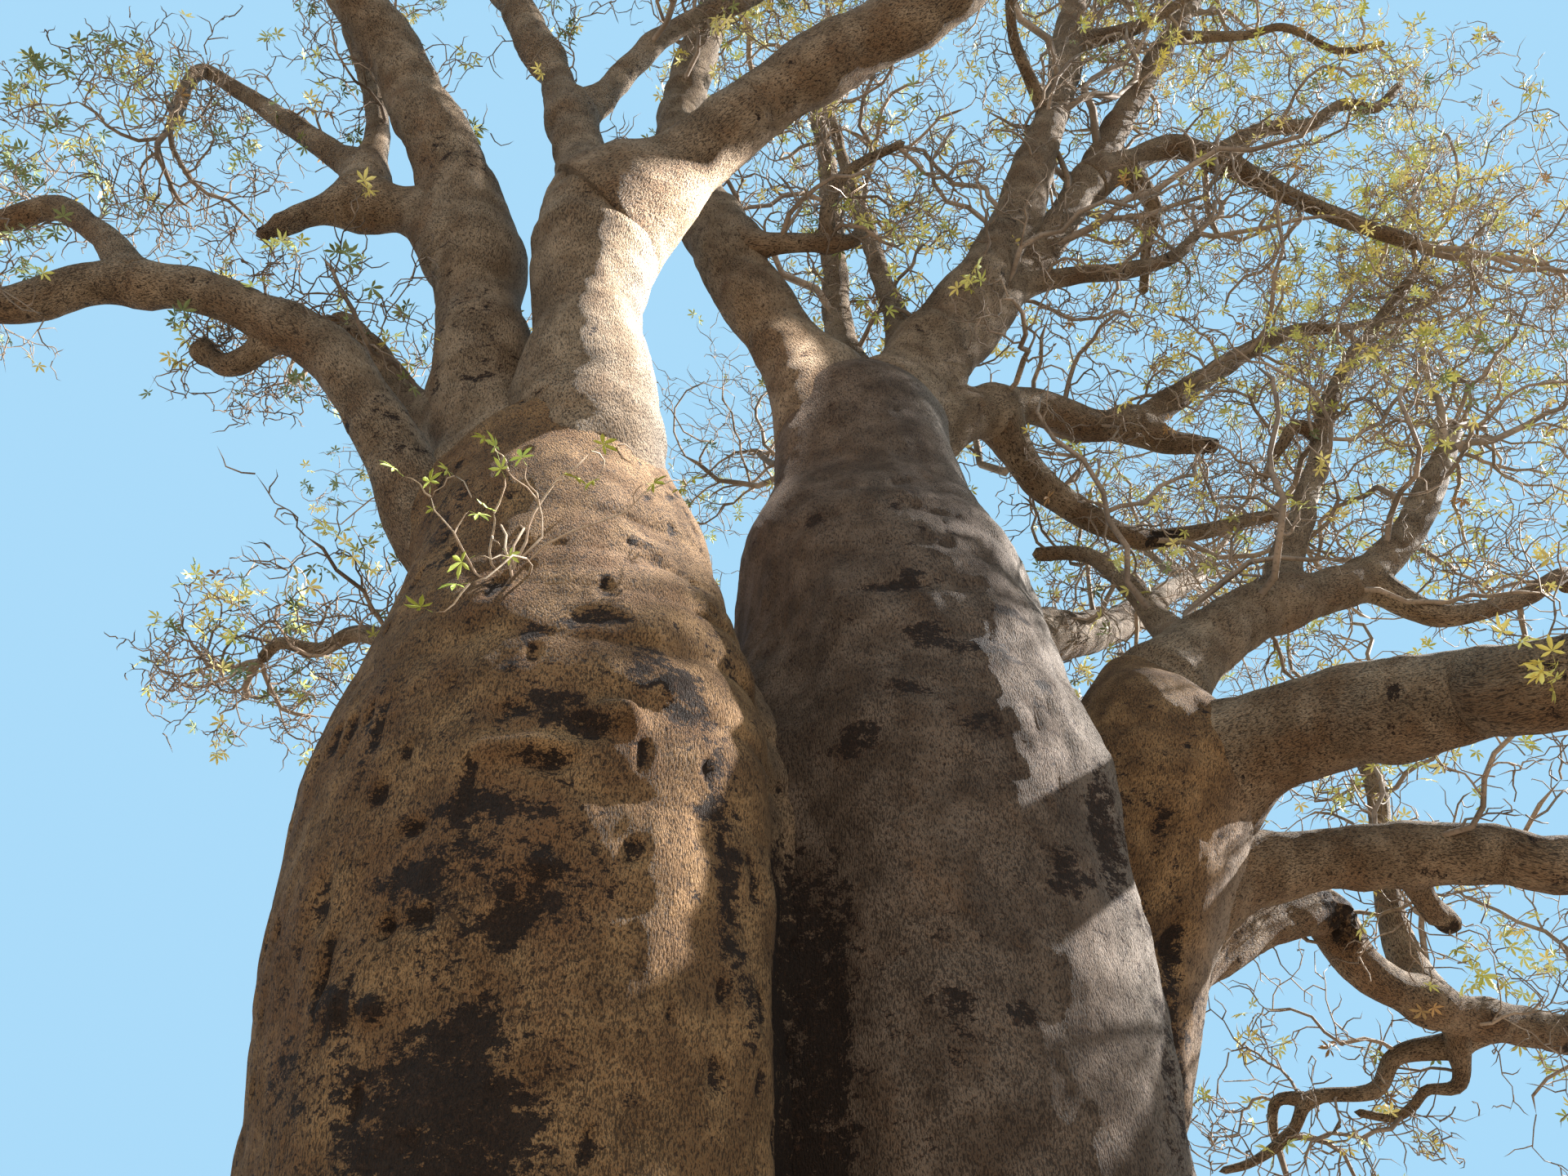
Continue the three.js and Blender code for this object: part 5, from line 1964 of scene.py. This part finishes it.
    def _spurs(self, random: np.random.Generator) -> Shoots:
        """Branches that spring from the limbs themselves.

        Args:
            random: the source of random numbers.

        Returns:
            The spurs of all limbs, each counted with the mass of its own bough or its parent's.
        """
        limbs = self.wood.boughs + self.wood.small
        index = {name[: -len("_foliage")]: i for i, name in enumerate(self.names)}
        parents = {limb.name: limb.parent for limb in limbs}
        groups = []
        for limb in limbs:
            owner = limb.name
            while owner not in index and owner in parents:
                owner = parents[owner]
            line = limb.line
            count = int(round(limb.spurs * self.SPURS_A_METRE * line.length))
            if not count:
                continue
            first, span = self.SPUR_SPAN
            share = first + span * (np.arange(count) + random.random(count)) / count
            at = np.minimum((share * (len(line.points) - 1)).astype(int), len(line.points) - 2)
            spin = self.GOLDEN * np.arange(count) + self.SPUR_SPIN
            out = turned(line.ways()[at], random.uniform(*self.SPUR_TURN, count), spin)
            out = unit(out + np.array([0.0, 0.0, self.SPUR_LIFT]))
            thin = np.clip(line.radii[at] / self.FULL_LIMB, self.LEAST_SPUR, 1.0)
            thin = thin * np.clip(limb.spurs / self.FULL_SPURS, self.LEAST_SPUR, 1.0)
            vigour = random.random(count) ** self.SPUR_POWER
            groups.append((
                line.points[at] + out * self.SPUR_DEPTH * line.radii[at][:, None],
                out,
                (self.SPUR_LENGTH[0] + vigour * np.ptp(self.SPUR_LENGTH)) * thin,
                (self.SPUR_RADIUS[0] + vigour * np.ptp(self.SPUR_RADIUS)) * thin,
                np.full(count, index.get(owner, 0)),
            ))
        joined_groups = [np.concatenate(parts) for parts in zip(*groups)]
        return self._paths(*joined_groups, self.BRANCHES, random, reaching=False)

    def _thinned(self, shoots: Shoots, most: int, random: np.random.Generator) -> Shoots:
        """Drops some twigs where they crowd, so that the crown stays open.

        Space is cut into cubes of side CELL. A twig in a cube with n twigs is kept with the chance
        most / n.

        Args:
            shoots: the twigs of one order.
            most: about how many may stay in a cube.
            random: the source of random numbers.

        Returns:
            The twigs that stay.
        """
        middle = shoots.points[:, shoots.points.shape[1] // 2]
        cubes = np.floor(middle / self.CELL).astype(int)
        _, where, counts = np.unique(cubes, axis=0, return_inverse=True, return_counts=True)
        return shoots.kept(random.random(len(middle)) * counts[where.ravel()] < most)

    def dress(self, material: bpy.types.Material, tints: Dict[Tint, bpy.types.Material]) -> None:
        """Grows the crown and makes its pieces.

        Args:
            material: the finish of the twigs.
            tints: the finish of each tint of leaf.
        """
        random = np.random.default_rng(SEED)
        layers = []
        tips = []

        # Twigs grow on the branches of the masses first, and then on the spurs of the limbs.
        for spurs in (False, True):
            if spurs:
                thick = [(self._spurs(random), self.BRANCHES.sides)]
            else:
                leaders = self._leaders(random)
                branches = self._grown(leaders, self.BRANCHES, random)
                thick = [(leaders, self.LEADERS.sides), (branches, self.BRANCHES.sides)]
            twigs = self._grown(thick[-1][0], self.TWIGS, random, reaching=not spurs)
            twigs = self._thinned(twigs, self.TWIGS_A_CELL, random)
            twiglets = self._grown(twigs, self.TWIGLETS, random, reaching=not spurs)
            twiglets = self._thinned(twiglets, self.TWIGLETS_A_CELL, random)
            layers += thick + [(twigs, self.TWIGS.sides), (twiglets, self.TWIGLETS.sides)]
            tips.append((twiglets, twigs))
        self._add_twigs(layers, material)
        self._add_leaves([shoots for pair in zip(*tips) for shoots in pair], tints, random)

    def dress_neck(self, material: bpy.types.Material, leaf: bpy.types.Material) -> None:
        """Grows the fresh shoots on the front of the left stem's neck, with their leaves.

        Args:
            material: the finish of the shoots.
            leaf: the finish of their leaves.
        """
        random = np.random.default_rng(SEED + 1)
        count = len(self.NECK_WAYS)
        foot = np.array(self.NECK_FOOT)
        number = self._add_mass("neck_shoots", foot, self.NECK_REACH)
        ways = np.array([direction_of(heading, rise) for heading, rise, _ in self.NECK_WAYS])
        lengths = np.array([length for _, _, length in self.NECK_WAYS])
        starts = foot + random.normal(size=(count, 3)) * np.array(self.NECK_SPREAD)
        mass = np.full(count, number)
        radii = np.full(count, self.NECK_RADIUS)
        shoots = self._paths(starts, ways, lengths, radii, mass, self.NECK, random)
        twigs = self._grown(shoots, self.NECK_TWIGS, random)
        parts = [shoot_surface(shoots, self.NECK.sides), shoot_surface(twigs, self.NECK_TWIGS.sides)]
        add_piece("neck_shoot_twigs", joined(parts), material, ["neck_shoots"])
        feet = np.concatenate([shoots.points[:, -1], twigs.points[:, -1]])
        tips = np.concatenate([shoots.tip_ways(), twigs.tip_ways()])
        order = np.arange(len(feet))
        ways = turned(tips, random.uniform(*self.NECK_TURN, len(order)), self.GOLDEN * order)
        sway = self.NECK_SWAY * random.normal(size=(len(order), 3))
        faces = unit(np.array(self.NECK_FACING) + sway)
        sizes = random.uniform(*self.NECK_LEAF_SIZE, len(order))
        add_piece("neck_shoot_leaves", self.leaf.leaves(feet, ways, faces, sizes), leaf)

    def _add_twigs(self, layers: List[Tuple[Shoots, int]], material: bpy.types.Material) -> None:
        """Joins the twigs of neighbouring masses into pieces that replace those masses.

        Args:
            layers: each order of twigs, with the sides it has.
            material: their finish.
        """
        counts = np.zeros(len(self.names))
        for shoots, sides in layers:
            each = 2 * sides * (shoots.points.shape[1] - 2) + sides
            counts += each * np.bincount(shoots.mass, minlength=len(self.names))
        group: List[int] = []
        number = 1
        for mass in range(len(self.names)):
            if group and counts[group].sum() + counts[mass] > MOST_TRIANGLES:
                self._add_group(number, group, layers, material)
                group = []
                number += 1
            group.append(mass)
        self._add_group(number, group, layers, material)

    def _add_group(
        self,
        number: int,
        group: List[int],
        layers: List[Tuple[Shoots, int]],
        material: bpy.types.Material,
    ) -> None:
        """Makes one piece of the twigs of a few masses.

        Args:
            number: the piece's number.
            group: the masses.
            layers: each order of twigs, with the sides it has.
            material: their finish.
        """
        chosen = [(shoots.kept(np.isin(shoots.mass, group)), sides) for shoots, sides in layers]
        parts = [shoot_surface(shoots, sides) for shoots, sides in chosen if len(shoots.points)]
        names = [self.names[mass] for mass in group]
        add_piece(f"crown_twigs_{number}", joined(parts), material, names)

    def _add_leaves(
        self, tips: List[Shoots], tints: Dict[Tint, bpy.types.Material], random: np.random.Generator
    ) -> None:
        """Hangs a spray of one to four leaves on some of the tips, each spray of one tint.

        Args:
            tips: the twigs whose tips may carry leaves.
            tints: the finish of each tint.
            random: the source of random numbers.
        """
        feet = np.concatenate([s.points[:, -1] for s in tips])
        ways = np.concatenate([s.tip_ways() for s in tips])
        patch = sum(lumps.at(feet) for lumps in self.LEAFY_PATCHES)
        chance = self.LEAFY * np.clip(1.0 + self.LEAFY_SWING * patch, *self.LEAFY_LIMITS)
        leafy = random.random(len(feet)) < chance
        feet, ways = feet[leafy], ways[leafy]
        base, fall = self.GREEN_CHANCE
        green = np.clip(base - fall * feet[:, 0], *self.GREEN_LIMITS)
        draw = random.random(len(feet))
        kinds = np.full(len(feet), Tint.YELLOW)
        kinds[draw + self.LIME_DRIFT.at(feet) > self.LIME_ABOVE] = Tint.LIME
        kinds[draw > self.RUSSET_ABOVE] = Tint.RUSSET
        kinds[random.random(len(feet)) < green] = Tint.GREEN
        each = random.integers(*self.LEAVES_A_SPRAY, len(feet))
        most = MOST_TRIANGLES // self.leaf.template().count()
        for tint in Tint:
            chosen = np.flatnonzero(kinds == tint)
            spray = np.repeat(chosen, each[chosen])
            order = np.arange(len(spray))
            turn = random.uniform(*self.LEAF_TURN, len(spray))
            way = turned(ways[spray], turn, self.GOLDEN * order)
            sway = self.LEAF_SWAY * random.normal(size=(len(spray), 3))
            face = unit(np.array([0.0, 0.0, 1.0]) + sway)
            sizes = random.uniform(*self.LEAF_SIZE, len(spray))
            for part in range(0, len(spray), most):
                some = slice(part, part + most)
                surface = self.leaf.leaves(feet[spray][some], way[some], face[some], sizes[some])
                name = f"leaves_{tint.name.lower()}_{part // most + 1}"
                add_piece(name, surface, tints[tint])


# The studio.


@dataclass(frozen=True)
class Studio:
    """A pale floor, a plain pale blue room, and three lamps.

    The key light comes from behind on the right and a wide warm fill from the camera's side, and
    a spot lights the front column. Directions lead from the tree to the lamp.
    """

    camera_place: Row = (0.15, -5.30, 1.5)
    camera_tilt: float = 128.0
    lens: float = 28.125
    sensor: float = 36.0
    sight: float = 300.0
    floor_colour: Row = (0.24, 0.187, 0.138)
    floor_roughness: float = 0.9
    floor_half: float = 60.0
    floor_drop: float = 0.002
    room_colour: Row = (0.44, 0.77, 1.04)
    room_strength: float = 0.92
    sunlight: Row = (1.0, 0.98, 0.95)
    key_towards: Row = (0.806, 0.293, 0.515)
    key_strength: float = 19.0
    key_angle: float = 1.0
    fill_towards: Row = (-0.15, -0.98, 0.12)
    fill_strength: float = 1.35
    fill_angle: float = 80.0
    fill_colour: Row = (1.0, 0.68, 0.38)
    spot_place: Row = (1.15, -0.8, 8.94)
    spot_target: Row = (-1.08, -0.63, 6.5)
    spot_power: float = 3500.0
    spot_cone: float = 51.0
    spot_blend: float = 0.35
    spot_size: float = 0.04

    def set_up(self) -> None:
        """Makes the camera, the floor, the room's light and the lamps."""
        scene = bpy.context.scene
        camera = bpy.data.cameras.new("camera")
        camera.lens = self.lens
        camera.sensor_width = self.sensor
        camera.sensor_fit = "HORIZONTAL"
        camera.clip_end = self.sight
        view = bpy.data.objects.new("camera", camera)
        view.location = self.camera_place
        view.rotation_euler = (math.radians(self.camera_tilt), 0.0, 0.0)
        scene.collection.objects.link(view)
        scene.camera = view
        scene.view_settings.view_transform = "Standard"
        self._floor()
        self._room(scene)
        self._sun("key light", self.key_towards, self.key_strength, self.key_angle, self.sunlight)
        self._sun("fill", self.fill_towards, self.fill_strength, self.fill_angle, self.fill_colour)
        self._spot()

    def _floor(self) -> None:
        """A wide pale floor at ground level."""
        mesh = bpy.data.meshes.new("floor")
        half = self.floor_half
        corners = [(-half, -half, 0.0), (half, -half, 0.0), (half, half, 0.0), (-half, half, 0.0)]
        mesh.from_pydata(corners, [], [(0, 1, 2, 3)])
        floor = bpy.data.objects.new("floor", mesh)
        material, nodes = new_material("floor")
        shader = material.node_tree.nodes["Principled BSDF"]
        nodes.put(shader.inputs["Base Color"], self.floor_colour)
        nodes.put(shader.inputs["Roughness"], self.floor_roughness)
        mesh.materials.append(material)
        floor.location = (0.0, 0.0, -self.floor_drop)
        bpy.context.scene.collection.objects.link(floor)

    def _room(self, scene: bpy.types.Scene) -> None:
        """Plain pale blue light from all round."""
        world = bpy.data.worlds.new("room")
        world.use_nodes = True
        background = world.node_tree.nodes["Background"]
        background.inputs["Color"].default_value = (*self.room_colour, 1.0)
        background.inputs["Strength"].default_value = self.room_strength
        scene.world = world

    def _hang(self, lamp: bpy.types.Light, towards: Array) -> bpy.types.Object:
        """Puts a lamp into the scene, and turns it to shine from a direction.

        Args:
            lamp: the lamp.
            towards: the direction from what it lights to the lamp.

        Returns:
            The lamp's object.
        """
        light = bpy.data.objects.new(lamp.name, lamp)
        x, y, z = unit(towards)
        light.rotation_euler = (math.acos(z), 0.0, math.atan2(y, x) + math.pi / 2)
        bpy.context.scene.collection.objects.link(light)
        return light

    def _sun(self, name: str, towards: Row, strength: float, softness: float, colour: Row) -> None:
        """One lamp that is far away.

        Args:
            name: its name.
            towards: the direction from the tree to the lamp.
            strength: its strength.
            softness: the angle that it fills, in degrees.
            colour: its colour.
        """
        lamp = bpy.data.lights.new(name, "SUN")
        lamp.energy = strength
        lamp.angle = math.radians(softness)
        lamp.color = colour
        self._hang(lamp, np.array(towards))

    def _spot(self) -> None:
        """The lamp that shines on the front column only."""
        lamp = bpy.data.lights.new("rim light", "SPOT")
        lamp.energy = self.spot_power
        lamp.spot_size = math.radians(self.spot_cone)
        lamp.spot_blend = self.spot_blend
        lamp.shadow_soft_size = self.spot_size
        lamp.color = self.sunlight
        light = self._hang(lamp, np.array(self.spot_place) - np.array(self.spot_target))
        light.location = self.spot_place
        light.visible_camera = False


def main() -> None:
    """Builds the tree and the studio."""
    logging.basicConfig(level=logging.INFO)
    dashes = dash_group()
    blotches = blotch_group()
    wood = Wood(STEMS, BOUGHS, SMALL_LIMBS)
    wood.lay()
    wood.dress({name: finish.material(dashes, blotches) for name, finish in BARKS.items()})
    crown = Crown(wood)
    crown.dress(TWIG_BARK.material(), {tint: tint.value.material() for tint in Tint})
    crown.dress_neck(SHOOT_BARK.material(), YOUNG_LEAF.material())
    Studio().set_up()


if __name__ == "__main__":
    main()
